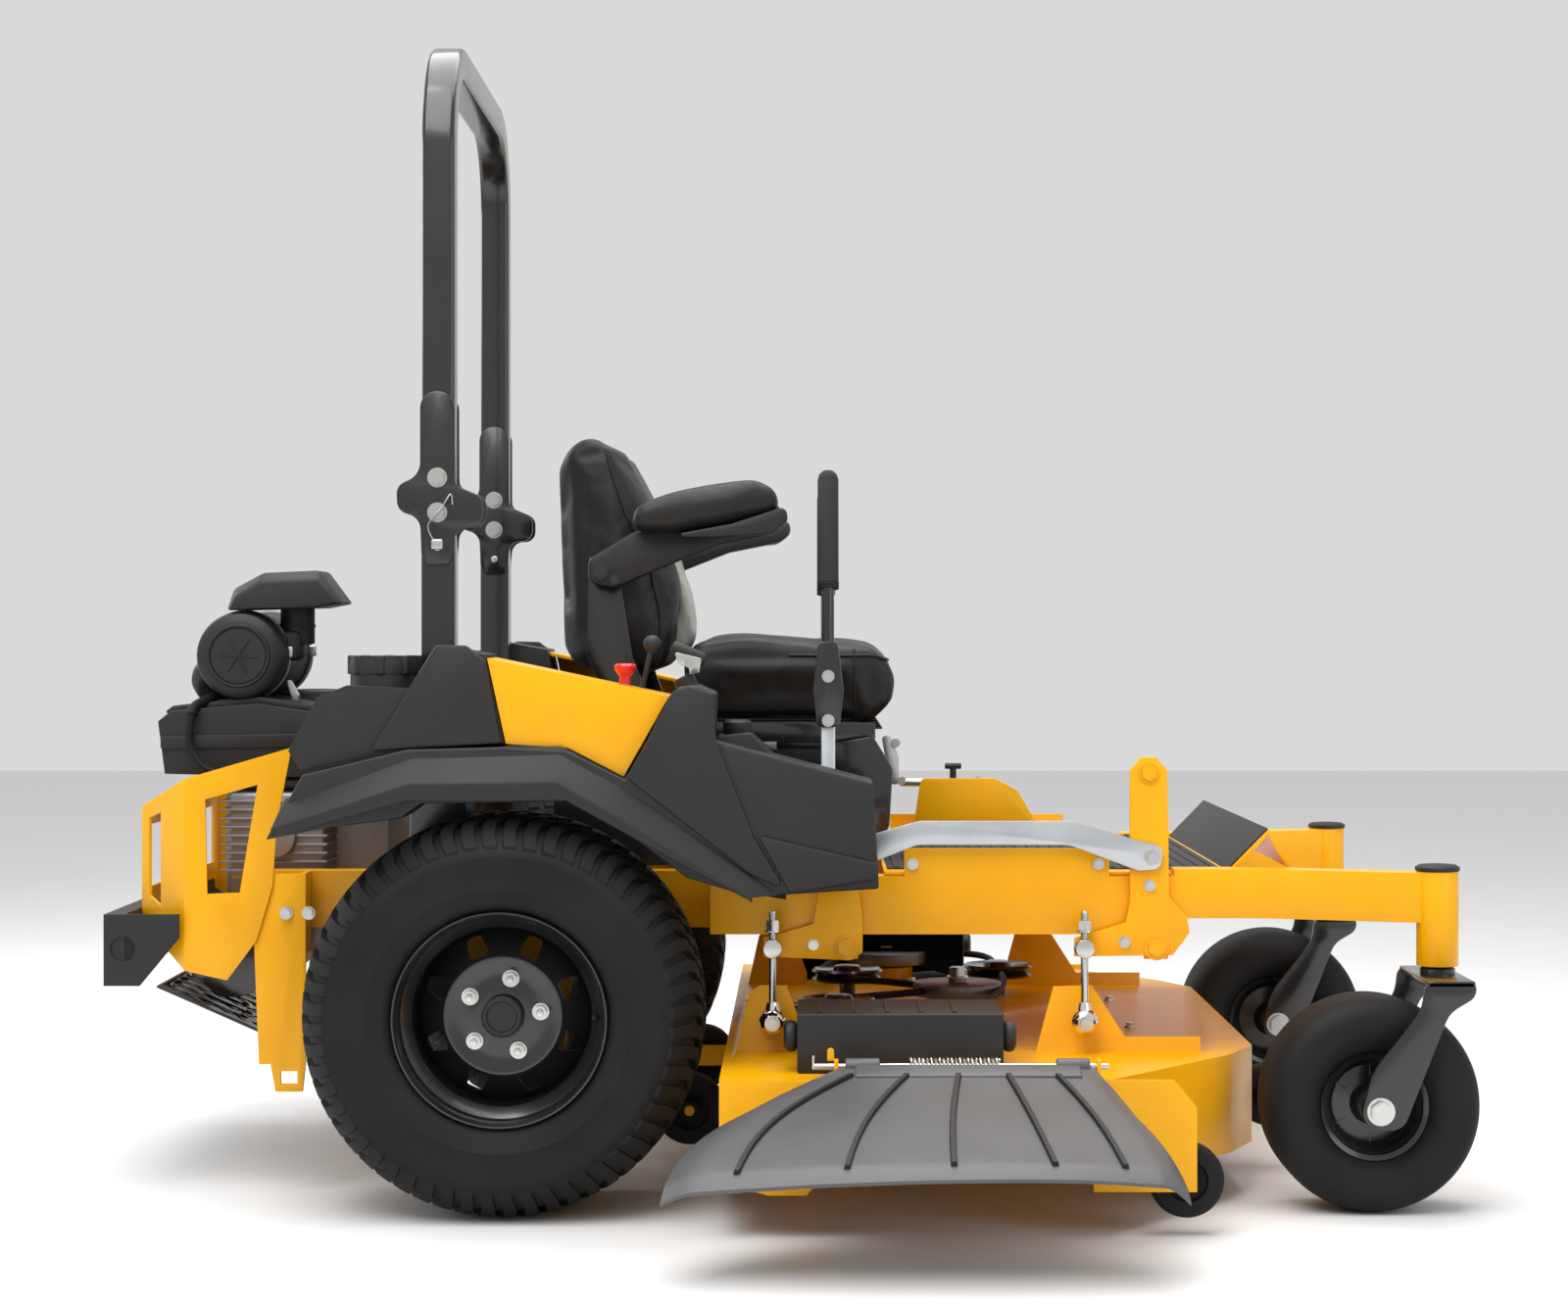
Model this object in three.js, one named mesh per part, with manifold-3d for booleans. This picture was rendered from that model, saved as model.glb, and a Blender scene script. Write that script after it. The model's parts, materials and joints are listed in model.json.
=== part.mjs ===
// Zero turn mower with a roll bar, a three-blade side-discharge deck and lap-bar steering.
// Millimetres. +X is forward, +Y is the operator's left, +Z is up, and the ground is Z = 0.
// Letters at the end of a name: R is the operator's right (Y < 0), L the left (Y > 0).

import * as THREE from "three";
import { mergeVertices } from "three/addons/utils/BufferGeometryUtils.js";
import { RoundedBoxGeometry } from "three/addons/geometries/RoundedBoxGeometry.js";
import Module from "manifold-3d";

const wasm = await Module();
wasm.setup();

// ---------------------------------------------------------------- driving dimensions

const ORIGIN = { x: -48, y: -160 }; // the middle of the machine's footprint with the chute down
const GAP = 0.5; // between pieces that touch

const REAR_WHEEL = { x: -467, y: -517, radius: 303 };
const CASTER = { pivotX: 955, axleX: 848, y: -507, radius: 163 };

const RAIL = { outer: -445, inner: -395, low: 411, high: 501, rear: -160, front: 575 };
const REAR_RAIL = { outer: -333, inner: -293, rear: -880 };
const ARM = { low: 436, high: 512 };

const DECK = { y: 17, halfWidth: 767, rear: -137, front: 690, low: 78, high: 230, wall: 5 };
const DECK_SIDES = { right: DECK.y - DECK.halfWidth, left: DECK.y + DECK.halfWidth };
const SCALP_REAR = { x: -197, y: -300, z: 119, radius: 56, half: 28 };
const SCALP_FRONT = { x: 545, inset: 35, z: 80, radius: 55, half: 20 };
const SCALP_MID = { x: 746, y: -150, z: 119, radius: 50, half: 28 };
const BLADE = { halfLength: 251, width: 64, sideX: 135, centreX: 245, spacing: 504, low: 112 };
const CHUTE = { y: -760, z: 251, rear: 40, front: 406, reach: 362, droop: 18.3 };

const CRANK = { frontX: 532, rearX: 51, z: 392, arm: 114, outer: -458, inner: -448 };
const HANGER = { y: -472, ballZ: 279, topZ: 450, rod: 7, ball: 22 };

const ROPS = { x: -582, y: -422, tube: 50.8, pivotZ: 1063, top: 1815, corner: 150 };
const SEAT = { halfWidth: 250 };
const LEVER = { x: 23, y: -414, driveZ: 600, swingZ: 738 };

// ---------------------------------------------------------------- finishes

const paint = (color, roughness, metalness = 0) =>
  new THREE.MeshStandardMaterial({ color, roughness, metalness });
const yellowPaint = () => paint(0xf0a60a, 0.35);
const blackPaint = () => paint(0x101011, 0.3);
const blackPlastic = () => paint(0x2c2c2e, 0.7);
const rubber = () => paint(0x1b1b1c, 0.85);
const zinc = () => paint(0xb4b8ba, 0.35, 0.9);
const vinyl = () => paint(0x202022, 0.55);
const castMetal = () => paint(0x8d8f90, 0.5, 0.8);
const redPlastic = () => paint(0xc01820, 0.4);

// ---------------------------------------------------------------- joining and cutting

function toSolid(geometry) {
  const bare = geometry.index ? geometry.toNonIndexed() : geometry.clone();
  bare.deleteAttribute("normal");
  bare.deleteAttribute("uv");
  const merged = mergeVertices(bare, 1e-3);
  return new wasm.Manifold(
    new wasm.Mesh({
      numProp: 3,
      vertProperties: merged.attributes.position.array,
      triVerts: new Uint32Array(merged.index.array),
    }),
  );
}

function toGeometry(solid) {
  const mesh = solid.getMesh();
  const geometry = new THREE.BufferGeometry();
  geometry.setAttribute("position", new THREE.BufferAttribute(mesh.vertProperties, 3));
  geometry.setIndex(new THREE.BufferAttribute(mesh.triVerts, 1));
  geometry.computeVertexNormals();
  return geometry;
}

function join(...pieces) {
  return toGeometry(pieces.map(toSolid).reduce((whole, piece) => whole.add(piece)));
}

function cut(body, ...tools) {
  return toGeometry(tools.map(toSolid).reduce((rest, tool) => rest.subtract(tool), toSolid(body)));
}

// ---------------------------------------------------------------- basic shapes

function outline(points) {
  return new THREE.Shape(points.map(([a, b]) => new THREE.Vector2(a, b)));
}

function extruded(shape, depth) {
  return new THREE.ExtrudeGeometry(shape, { depth, bevelEnabled: false, curveSegments: 4 });
}

// An upright plate seen from the side: outline in X and Z, thickness along Y.
function sidePlate(points, yLow, yHigh, hole) {
  const shape = Array.isArray(points) ? outline(points) : points;
  const plate = extruded(shape, yHigh - yLow).rotateX(Math.PI / 2).translate(0, yHigh, 0);
  return hole ? cut(plate, sidePlate(hole, yLow - 1, yHigh + 1)) : plate;
}

// A level plate seen from above: outline in X and Y, thickness along Z.
function slab(points, zLow, zHigh) {
  return extruded(outline(points), zHigh - zLow).translate(0, 0, zLow);
}

// A cross plate seen from the front: outline in Y and Z, thickness along X.
function crossPlate(shape, xLow, xHigh) {
  const turn = new THREE.Matrix4().makeBasis(
    new THREE.Vector3(0, 1, 0),
    new THREE.Vector3(0, 0, 1),
    new THREE.Vector3(1, 0, 0),
  );
  return extruded(shape, xHigh - xLow).applyMatrix4(turn).translate(xLow, 0, 0);
}

function block(xLow, xHigh, yLow, yHigh, zLow, zHigh) {
  return new THREE.BoxGeometry(xHigh - xLow, yHigh - yLow, zHigh - zLow).translate(
    (xLow + xHigh) / 2,
    (yLow + yHigh) / 2,
    (zLow + zHigh) / 2,
  );
}

// A round bar from one point to another.
function bar(from, to, radius, sides = 16) {
  const start = new THREE.Vector3(...from);
  const end = new THREE.Vector3(...to);
  const along = end.clone().sub(start);
  const turn = new THREE.Quaternion().setFromUnitVectors(
    new THREE.Vector3(0, 1, 0),
    along.clone().normalize(),
  );
  const middle = start.add(end).multiplyScalar(0.5);
  return new THREE.CylinderGeometry(radius, radius, along.length(), sides)
    .applyQuaternion(turn)
    .translate(middle.x, middle.y, middle.z);
}

const barY = (x, z, radius, yLow, yHigh, sides) => bar([x, yLow, z], [x, yHigh, z], radius, sides);
const barZ = (x, y, radius, zLow, zHigh, sides) => bar([x, y, zLow], [x, y, zHigh], radius, sides);

// A ring turned about the Y axis from a closed profile of [radius, y] points, run from low y to high y outside.
function turned(profile, segments) {
  const points = [...profile, profile[0]].map(([radius, y]) => new THREE.Vector2(radius, y));
  return new THREE.LatheGeometry(points, segments);
}

// The same outline moved inwards by a wall's thickness, for hollowing out a cover.
function inset(points, wall) {
  const count = points.length;
  const area = points.reduce((sum, [x, y], i) => {
    const [nextX, nextY] = points[(i + 1) % count];
    return sum + x * nextY - nextX * y;
  }, 0);
  const side = Math.sign(area);
  const normal = ([ax, ay], [bx, by]) => {
    const length = Math.hypot(bx - ax, by - ay);
    return [(-side * (by - ay)) / length, (side * (bx - ax)) / length];
  };
  return points.map((point, i) => {
    const before = normal(points[(i + count - 1) % count], point);
    const after = normal(point, points[(i + 1) % count]);
    const scale = wall / (1 + before[0] * after[0] + before[1] * after[1]);
    return [point[0] + scale * (before[0] + after[0]), point[1] + scale * (before[1] + after[1])];
  });
}

// The left-hand twin of a right-hand shape.
function mirrored(geometry) {
  const copy = geometry.index ? geometry.toNonIndexed() : geometry.clone();
  copy.scale(1, -1, 1);
  const position = copy.attributes.position;
  const second = new THREE.Vector3();
  const third = new THREE.Vector3();
  for (let i = 0; i < position.count; i += 3) {
    second.fromBufferAttribute(position, i + 1);
    third.fromBufferAttribute(position, i + 2);
    position.setXYZ(i + 1, third.x, third.y, third.z);
    position.setXYZ(i + 2, second.x, second.y, second.z);
  }
  return copy;
}

const bothSides = (...pieces) => pieces.flatMap((piece) => [piece, mirrored(piece)]);

// ---------------------------------------------------------------- the assembly

const machine = new THREE.Group();
machine.position.set(-ORIGIN.x, -ORIGIN.y, 0);

function add(name, geometry, material) {
  const mesh = new THREE.Mesh(geometry, material);
  mesh.name = name;
  machine.add(mesh);
}

function addPair(name, geometry, finish) {
  add(`${name}_R`, geometry, finish());
  add(`${name}_L`, mirrored(geometry), finish());
}

// ---------------------------------------------------------------- chassis

function mainFrame() {
  const casterTube = barZ(CASTER.pivotX, CASTER.y, 32, 370, 514, 20);
  const casterBore = barZ(CASTER.pivotX, CASTER.y, 20.5, 360, 520, 16);
  const arm = slab(
    [[560, -395], [560, -445], [690, -445], [945, -528], [965, -487], [700, -395]],
    ARM.low,
    ARM.high,
  );
  const bearing = (x) =>
    sidePlate(
      [[x - 26, 415], [x - 18, 372], [x + 18, 372], [x + 26, 415]],
      -440,
      -432,
    );
  const crankBore = (x) => barY(x, CRANK.z, 13, -480, 480);
  const rearPlate = sidePlate(
    [[-880, 501], [-795, 501], [-795, 203], [-800, 160], [-842, 160], [-850, 203], [-868, 203]],
    -400,
    -392,
    [[-834, 172], [-808, 172], [-808, 192], [-834, 192]],
  );
  const right = [
    block(RAIL.rear, RAIL.front, RAIL.outer, RAIL.inner, RAIL.low, RAIL.high),
    arm,
    casterTube,
    block(141, 459, -445, -438, 495, 544),
    block(REAR_RAIL.rear, -120, REAR_RAIL.outer, REAR_RAIL.inner, RAIL.low, RAIL.high),
    block(RAIL.rear, -120, -400, -320, RAIL.low, RAIL.high),
    sidePlate([[-570, 420], [-370, 420], [-400, 205], [-540, 205]], REAR_RAIL.outer, -325),
    rearPlate,
    block(-805, -797, -396, -325, 360, 501),
    bearing(CRANK.frontX),
    bearing(CRANK.rearX),
    sidePlate([[0, 495], [50, 495], [40, 625], [6, 625]], -402, -396),
  ];
  const across = [
    block(575, 622, -400, 400, 440, 500),
    block(-140, -90, -300, 300, 425, 475),
    block(-90, -30, -400, 400, 425, 475),
    block(-1000, -640, -296, 296, 411, 419),
  ];
  return cut(
    join(...bothSides(...right), ...across),
    casterBore,
    mirrored(casterBore),
    crankBore(CRANK.frontX),
    crankBore(CRANK.rearX),
    barY(REAR_WHEEL.x, REAR_WHEEL.radius, 19, -340, 340),
    barZ(-830, 0, 30, 400, 430),
  );
}

function footPlatform() {
  const floor = join(
    block(110, 556, -437, 437, RAIL.high + GAP, RAIL.high + 6),
    block(550, 655, -392, 392, RAIL.high + GAP, RAIL.high + 6),
  );
  const rest = sidePlate(
    [[648, 503], [714, 570], [748, 514], [741, 512], [713, 560], [658, 503]],
    -392,
    392,
  );
  return join(floor, rest);
}

function seatPedestal() {
  const outside = [[-420, 502], [100, 502], [100, 643], [60, 690], [-420, 690]];
  return cut(
    sidePlate(outside, -235, 235),
    sidePlate(inset(outside, 4).map(([x, z]) => [x, z < 510 ? 490 : z]), -231, 231),
  );
}

function rearBumper() {
  const end = sidePlate(
    [[-1108, 439], [-990, 439], [-990, 402], [-1052, 327], [-1108, 327]],
    -415,
    -409,
  );
  const hole = barY(-1078, 385, 20, -420, -400);
  return join(block(-1108, -1076, -410, 410, 345, 439), ...bothSides(cut(end, hole)));
}

// One flat panel of the guard, standing on the line between two points of the plan.
function guardPanel([startX, startY], [endX, endY], points, hole, thickness = 5) {
  const along = new THREE.Vector3(endX - startX, endY - startY, 0).normalize();
  const upward = new THREE.Vector3(0, 0, 1);
  const out = along.clone().cross(upward);
  const place = new THREE.Matrix4().makeBasis(along, upward, out);
  place.setPosition(startX, startY, 0);
  const plate = extruded(outline(points), thickness);
  const panel = hole ? cut(plate, extruded(outline(hole), 2 * thickness).translate(0, 0, -1)) : plate;
  return panel.translate(0, 0, -thickness).applyMatrix4(place);
}

function engineGuard() {
  const side = sidePlate(
    [[-984, 650], [-816, 699], [-839, 581], [-846, 481], [-871, 397], [-917, 335], [-984, 350]],
    -406,
    -401,
    [[-951, 618], [-869, 641], [-897, 472], [-948, 470]],
  );
  const corner = guardPanel(
    [-1072, -300],
    [-984, -404],
    [[-2, 421], [136, 350], [136, 650], [-2, 601]],
    [[22, 460], [60, 446], [60, 596], [22, 584]],
  );
  const back = cut(
    block(-1072, -1067, -301, 301, 441, 601),
    block(-1080, -1060, -262, 262, 470, 570),
  );
  const foot = block(-984, -970, -403, -297, 411, 419);
  return join(...bothSides(side, corner, foot), back);
}

// ---------------------------------------------------------------- engine

function engineBlock() {
  const head = block(-945, -790, -240, -120, 480, 620);
  return join(
    block(-970, -700, -130, 130, 419 + GAP, 640),
    ...bothSides(head),
    barZ(-830, 0, 18, 395, 430),
    barZ(-830, 0, 52, 335, 400),
  );
}

function engineShroud() {
  const outside = [
    [-1050, 650], [-1061, 735], [-1040, 752], [-900, 764], [-760, 742], [-695, 690], [-695, 641],
  ];
  return cut(
    sidePlate(outside, -238, 238),
    sidePlate(inset(outside, 6).map(([x, z]) => [x, z < 665 ? 630 : z]), -232, 232),
  );
}

function airCleaner() {
  const elbowPath = new THREE.CatmullRomCurve3([
    new THREE.Vector3(-931, 90, 841),
    new THREE.Vector3(-975, 100, 838),
    new THREE.Vector3(-1012, 80, 805),
    new THREE.Vector3(-1016, 60, 770),
  ]);
  const ring = new THREE.Shape().absarc(0, 0, 24, 0, 2 * Math.PI);
  const elbow = new THREE.ExtrudeGeometry(ring, { extrudePath: elbowPath, steps: 7, curveSegments: 6 });
  const hood = sidePlate(
    [[-953, 922], [-940, 958], [-890, 978], [-800, 977], [-766, 925], [-800, 919], [-920, 912]],
    -215,
    -75,
  );
  return join(
    barY(-931, 841, 70, -235, 95, 28),
    elbow,
    hood,
    barZ(-850, -145, 28, 850, 925),
    block(-905, -840, -175, -115, 835, 880),
  );
}

const muffler = () => join(barY(-940, 345, 58, -230, 230, 24), barY(-975, 345, 18, -300, -200));

const mufflerGuard = () =>
  sidePlate([[-1051, 317], [-876, 240], [-876, 234], [-1051, 311]], -300, 300);

function transaxle() {
  return join(
    block(-560, -390, -324, -120, 215, 400),
    barY(REAR_WHEEL.x, REAR_WHEEL.radius, 18, -560, -150),
    barY(REAR_WHEEL.x, REAR_WHEEL.radius, 45, -563, -550, 20),
  );
}

// ---------------------------------------------------------------- body panels

const CONSOLE = [
  [-212, 782], [-202, 798], [-173, 800], [-146, 788], [-149, 718], [89, 655], [98, 497], [-95, 485],
  [-190, 514], [-278, 580], [-366, 627], [-585, 624], [-615, 602], [-732, 587], [-817, 570],
  [-800, 602], [-761, 668], [-607, 705], [-461, 709], [-366, 703], [-281, 660],
];

function fenderConsole() {
  return cut(sidePlate(CONSOLE, -630, -490), sidePlate(inset(CONSOLE, 5), -625, -480));
}

const TANK = [
  [-768, 673], [-786, 702], [-743, 782], [-699, 800], [-600, 795], [-563, 859], [-491, 846],
  [-463, 713], [-607, 709],
];

function fuelTank() {
  return join(sidePlate(TANK, -612, -455), barZ(-652, -530, 53, 780, 844, 24));
}

function sidePanel() {
  const face = [[-488, 841], [-216, 784], [-284, 664], [-367, 707], [-460, 713]];
  const top = [[-488, 841], [-216, 784], [-218, 779], [-487, 835]];
  return join(sidePlate(face, -614, -608), sidePlate(top, -609, -476));
}

// ---------------------------------------------------------------- roll bar

function ropsBase() {
  const half = ROPS.tube / 2;
  const post = block(ROPS.x - half, ROPS.x + half, ROPS.y - half, ROPS.y + half, 630, ROPS.pivotZ + 20);
  const leg = block(-640, -540, -330, -296, RAIL.high + GAP, 640);
  const shelf = block(-640, ROPS.x + half, -447, 447, 628, 656);
  return join(...bothSides(post, leg), shelf);
}

function hingePlate(yLow, yHigh) {
  const shape = new THREE.Shape();
  shape.moveTo(-26, 165);
  shape.lineTo(-26, 78);
  shape.quadraticCurveTo(-28, 56, -46, 44);
  shape.absarc(-39, 23, 21, 1.9, 4.2, false);
  shape.quadraticCurveTo(-28, -22, -26, -62);
  shape.lineTo(-18, -76);
  shape.lineTo(18, -76);
  shape.lineTo(26, -62);
  shape.quadraticCurveTo(28, -34, 50, -20);
  shape.absarc(50, 2, 21, -1.2, 1.2, false);
  shape.quadraticCurveTo(28, 44, 26, 78);
  shape.lineTo(26, 165);
  shape.absarc(0, 165, 26, 0, Math.PI, false);
  return sidePlate(shape, yLow, yHigh).translate(ROPS.x, 0, ROPS.pivotZ);
}

function ropsHoop() {
  const half = ROPS.tube / 2;
  const arch = (reach, top, corner) => {
    const shape = new THREE.Shape();
    shape.moveTo(-reach, ROPS.pivotZ + 46);
    shape.lineTo(reach, ROPS.pivotZ + 46);
    shape.lineTo(reach, top - corner);
    shape.absarc(reach - corner, top - corner, corner, 0, Math.PI / 2, false);
    shape.absarc(corner - reach, top - corner, corner, Math.PI / 2, Math.PI, false);
    return shape;
  };
  const outer = -ROPS.y + half;
  const inner = -ROPS.y - half;
  const whole = crossPlate(arch(outer, ROPS.top, ROPS.corner + half), ROPS.x - half, ROPS.x + half);
  const opening = crossPlate(
    arch(inner, ROPS.top - ROPS.tube, ROPS.corner - half),
    ROPS.x - half - 5,
    ROPS.x + half + 5,
  ).translate(0, 0, -1);
  const gate = block(ROPS.x - 40, ROPS.x + 40, -inner, inner, ROPS.pivotZ, ROPS.pivotZ + 200);
  const plates = bothSides(
    hingePlate(ROPS.y - half - 7, ROPS.y - half),
    hingePlate(ROPS.y + half, ROPS.y + half + 7),
  );
  const post = block(
    ROPS.x - 60,
    ROPS.x + 60,
    ROPS.y - half - GAP,
    ROPS.y + half + GAP,
    940,
    ROPS.pivotZ + 45,
  );
  return cut(join(cut(whole, opening, gate), ...plates), post, mirrored(post));
}

// ---------------------------------------------------------------- wheels

function rearTyre() {
  const shell = [
    [152, -118], [163, -120], [165, -142], [228, -152], [262, -148], [292, -126], [303, -70],
    [303, 70], [292, 126], [262, 148], [228, 152], [165, 142], [163, 120], [152, 118],
    [176, 108], [232, 138], [286, 100], [286, -100], [232, -138], [176, -108],
  ];
  return turned(shell, 26).translate(REAR_WHEEL.x, REAR_WHEEL.y, REAR_WHEEL.radius);
}

function rearRim() {
  const section = [
    [160, -127], [160, -121], [150, -119], [150, 119], [160, 121], [160, 127], [145, 125],
    [145, -47], [22, -47], [22, -55], [145, -55], [145, -125],
  ];
  const windows = Array.from({ length: 8 }, (_, i) =>
    barY(0, 112, 17, -70, -30, 5).applyMatrix4(
      new THREE.Matrix4().makeRotationY((i * Math.PI) / 4),
    ),
  );
  return cut(turned(section, 26), ...windows)
    .translate(REAR_WHEEL.x, REAR_WHEEL.y, REAR_WHEEL.radius);
}

function casterFork() {
  const leg = (yLow, yHigh) =>
    sidePlate(
      [[918, 356], [990, 356], [990, 340], [872, 145], [848, 134], [826, 148], [823, 175], [915, 325]],
      yLow,
      yHigh,
    );
  const top = block(918, 990, CASTER.y - 108, CASTER.y + 108, 348, 358);
  return join(
    leg(CASTER.y - 112, CASTER.y - 103),
    leg(CASTER.y + 103, CASTER.y + 112),
    top,
    barZ(CASTER.pivotX, CASTER.y, 20, 350, 522, 16),
    barY(CASTER.axleX, CASTER.radius, 12, CASTER.y - 120, CASTER.y + 120, 12),
  );
}

function casterTyre() {
  const section = [
    [73, -50], [83, -53], [84, -64], [110, -79], [135, -83], [153, -74], [163, -45],
    [163, 45], [153, 74], [135, 83], [110, 79], [84, 64], [83, 53], [73, 50],
  ];
  return turned(section, 20).translate(CASTER.axleX, CASTER.y, CASTER.radius);
}

function casterRim() {
  const section = [
    [13, -90], [25, -90], [25, -8], [64, -8], [66, -58], [80, -60], [80, -54], [72, -52],
    [72, 52], [80, 54], [80, 60], [66, 58], [64, 8], [25, 8], [25, 90], [13, 90],
  ];
  return turned(section, 16).translate(CASTER.axleX, CASTER.y, CASTER.radius);
}

// ---------------------------------------------------------------- cutting deck

const BLADE_CENTRES = [-1, 0, 1].map((step) => [
  step === 0 ? BLADE.centreX : BLADE.sideX,
  DECK.y + step * BLADE.spacing,
]);

// Blocks and plates on the deck that carry the lift hangers, one pair on each side.
function hangerRibs() {
  const front = [[345, 229], [372, 330], [432, 332], [483, 252], [600, 252], [600, 229]];
  const rear = [[-120, 229], [-100, 320], [-84, 332], [-42, 332], [-12, 252], [-12, 229]];
  return bothSides(sidePlate(front, -446, -440), sidePlate(rear, -446, -440));
}

// The side wall's ears at the front corners, with the axles of the wheels inside them.
function frontWheelEars() {
  const { right, left } = DECK_SIDES;
  const ear = [[407, 230], [407, 67], [557, 67], [557, 190], [524, 230]];
  const axle = 2 * SCALP_FRONT.inset - 8;
  return [
    sidePlate(ear, right, right + DECK.wall),
    sidePlate(ear, left - DECK.wall, left),
    barY(SCALP_FRONT.x, SCALP_FRONT.z, 8, right + 1, right + axle),
    barY(SCALP_FRONT.x, SCALP_FRONT.z, 8, left - axle, left - 1),
  ];
}

// An arm that reaches from the deck's wall to a wheel, with the wheel's axle.
function wheelArm({ x, y, z, half }, toDeck) {
  const ends = [x - 12 * toDeck, x + 72 * toDeck];
  const side = y + half + 7;
  return join(
    block(Math.min(...ends), Math.max(...ends), side, side + 6, z - 12, z + 24),
    barY(x, z, 8, y - half - 4, side + 3),
  );
}

function deckShell() {
  const { right, left } = DECK_SIDES;
  const plan = [
    [DECK.rear, right], [430, right], [640, right + 267], [DECK.front, right + 377],
    [DECK.front, left - 377], [640, left - 267], [430, left], [DECK.rear, left],
  ];
  const hinge = (x) => block(x - 3, x + 3, CHUTE.y - 10, right + 2, 222, CHUTE.z + 10);
  const skirt = [[-135, 82], [-135, 110], [10, 110], [8, 82], [-10, 62], [-66, 62]];
  const whole = join(
    cut(
      slab(plan, DECK.low, DECK.high),
      slab(inset(plan, DECK.wall), DECK.low - 10, DECK.high - DECK.wall),
    ),
    ...hangerRibs(),
    ...frontWheelEars(),
    sidePlate(skirt, right, right + DECK.wall),
    hinge(CHUTE.rear - 7),
    hinge(CHUTE.front + 7),
    ...bothSides(wheelArm(SCALP_REAR, 1)),
    wheelArm(SCALP_MID, -1),
    ...BLADE_CENTRES.map(([x, y]) => barZ(x, y, 50, 226, 256)),
  );
  return cut(
    whole,
    block(CHUTE.rear, CHUTE.front, right - 10, right + 20, 60, 222),
    ...BLADE_CENTRES.map(([x, y]) => barZ(x, y, 17, 200, 270)),
  );
}

function bladeSpindle([x, y]) {
  const half = BLADE.width / 2;
  return join(
    block(x - half, x + half, y - BLADE.halfLength, y + BLADE.halfLength, BLADE.low, BLADE.low + 7),
    barZ(x, y, 15, BLADE.low, 292, 12),
    barZ(x, y, 75, 262, 284, 24),
  );
}

function beltCover() {
  return cut(block(-24, 280, -690, -505, 231, 318), block(-19, 275, -685, -490, 220, 313));
}

function dischargeChute() {
  const fan = slab(
    [
      [42, -8], [404, -8], [432, -70], [512, -350], [400, -CHUTE.reach + 4], [150, -CHUTE.reach],
      [-60, -CHUTE.reach + 6], [-207, -345], [-90, -190], [10, -60],
    ],
    -3,
    3,
  );
  const lip = ([ax, ay], [bx, by]) =>
    guardPanel([ax, ay], [bx, by], [[0, -32], [Math.hypot(bx - ax, by - ay), -32],
      [Math.hypot(bx - ax, by - ay), 1], [0, 1]], null, 6);
  const pieces = join(
    fan,
    lip([432, -70], [512, -350]),
    lip([-204, -345], [-88, -188]),
    bar([44, 0, 0], [402, 0, 0], 9, 10),
  );
  return pieces.rotateX((CHUTE.droop * Math.PI) / 180).translate(0, CHUTE.y, CHUTE.z);
}

const scalpWheel = ({ x, z, radius, half }, y) =>
  cut(barY(x, z, radius, y - half, y + half, 20), barY(x, z, 8.5, y - half - 5, y + half + 5));

// ---------------------------------------------------------------- deck lift

function liftCrank(x, upright) {
  const armEnd = x - CRANK.arm;
  const rightPlate = sidePlate(upright, CRANK.outer, CRANK.inner);
  const leftPlate = sidePlate(
    [[armEnd - 14, 378], [armEnd - 14, 406], [x - 40, 428], [x + 24, 418], [x + 24, 378]],
    -CRANK.inner,
    -CRANK.outer,
  );
  return join(rightPlate, leftPlate, barY(x, CRANK.z, 12, CRANK.inner - 2, 2 - CRANK.inner, 12));
}

const frontCrank = () =>
  liftCrank(CRANK.frontX, [
    [404, 378], [404, 406], [483, 430], [490, 462], [490, 665], [506, 686], [530, 686], [548, 665],
    [550, 470], [578, 440], [582, 415], [556, 380],
  ]);

const rearCrank = () =>
  liftCrank(CRANK.rearX, [
    [-77, 378], [-77, 406], [0, 428], [20, 545], [60, 545], [76, 440], [76, 385], [60, 372],
  ]);

function hanger(armEnd) {
  return join(
    barY(armEnd, CRANK.z, 13, HANGER.y - 12, HANGER.y + 12),
    barZ(armEnd, HANGER.y, HANGER.rod, HANGER.ballZ, HANGER.topZ, 10),
    new THREE.SphereGeometry(HANGER.ball, 14, 8)
      .rotateX(Math.PI / 2)
      .translate(armEnd, HANGER.y, HANGER.ballZ),
    barZ(armEnd, HANGER.y, 12, 410, 426, 6),
  );
}

const liftLink = () =>
  sidePlate(
    [[533, 514], [539, 530], [529, 547], [476, 590], [134, 598], [30, 545], [24, 529], [36, 513],
      [144, 560], [464, 554], [512, 516]],
    -468,
    -460,
  );

// ---------------------------------------------------------------- seat and controls

function seatBase() {
  const side = sidePlate(
    [[-300, 702], [-240, 702], [-292, 840], [-318, 1000], [-362, 1000], [-366, 840]],
    -246,
    -238,
  );
  return join(block(-330, 100, -246, 246, 702, 733), ...bothSides(side));
}

const seatCushion = () =>
  new RoundedBoxGeometry(330, 2 * SEAT.halfWidth, 126, 2, 40).translate(-35, 0, 799);

function seatBack() {
  const side = outline([
    [-388, 820], [-398, 1170], [-385, 1200], [-350, 1198], [-322, 1165], [-280, 1085], [-228, 960],
    [-216, 880], [-222, 820],
  ]);
  return new THREE.ExtrudeGeometry(side, {
    depth: 430, bevelSize: 10, bevelThickness: 14, bevelSegments: 1,
  }).rotateX(Math.PI / 2).translate(0, 215, 0);
}

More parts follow.
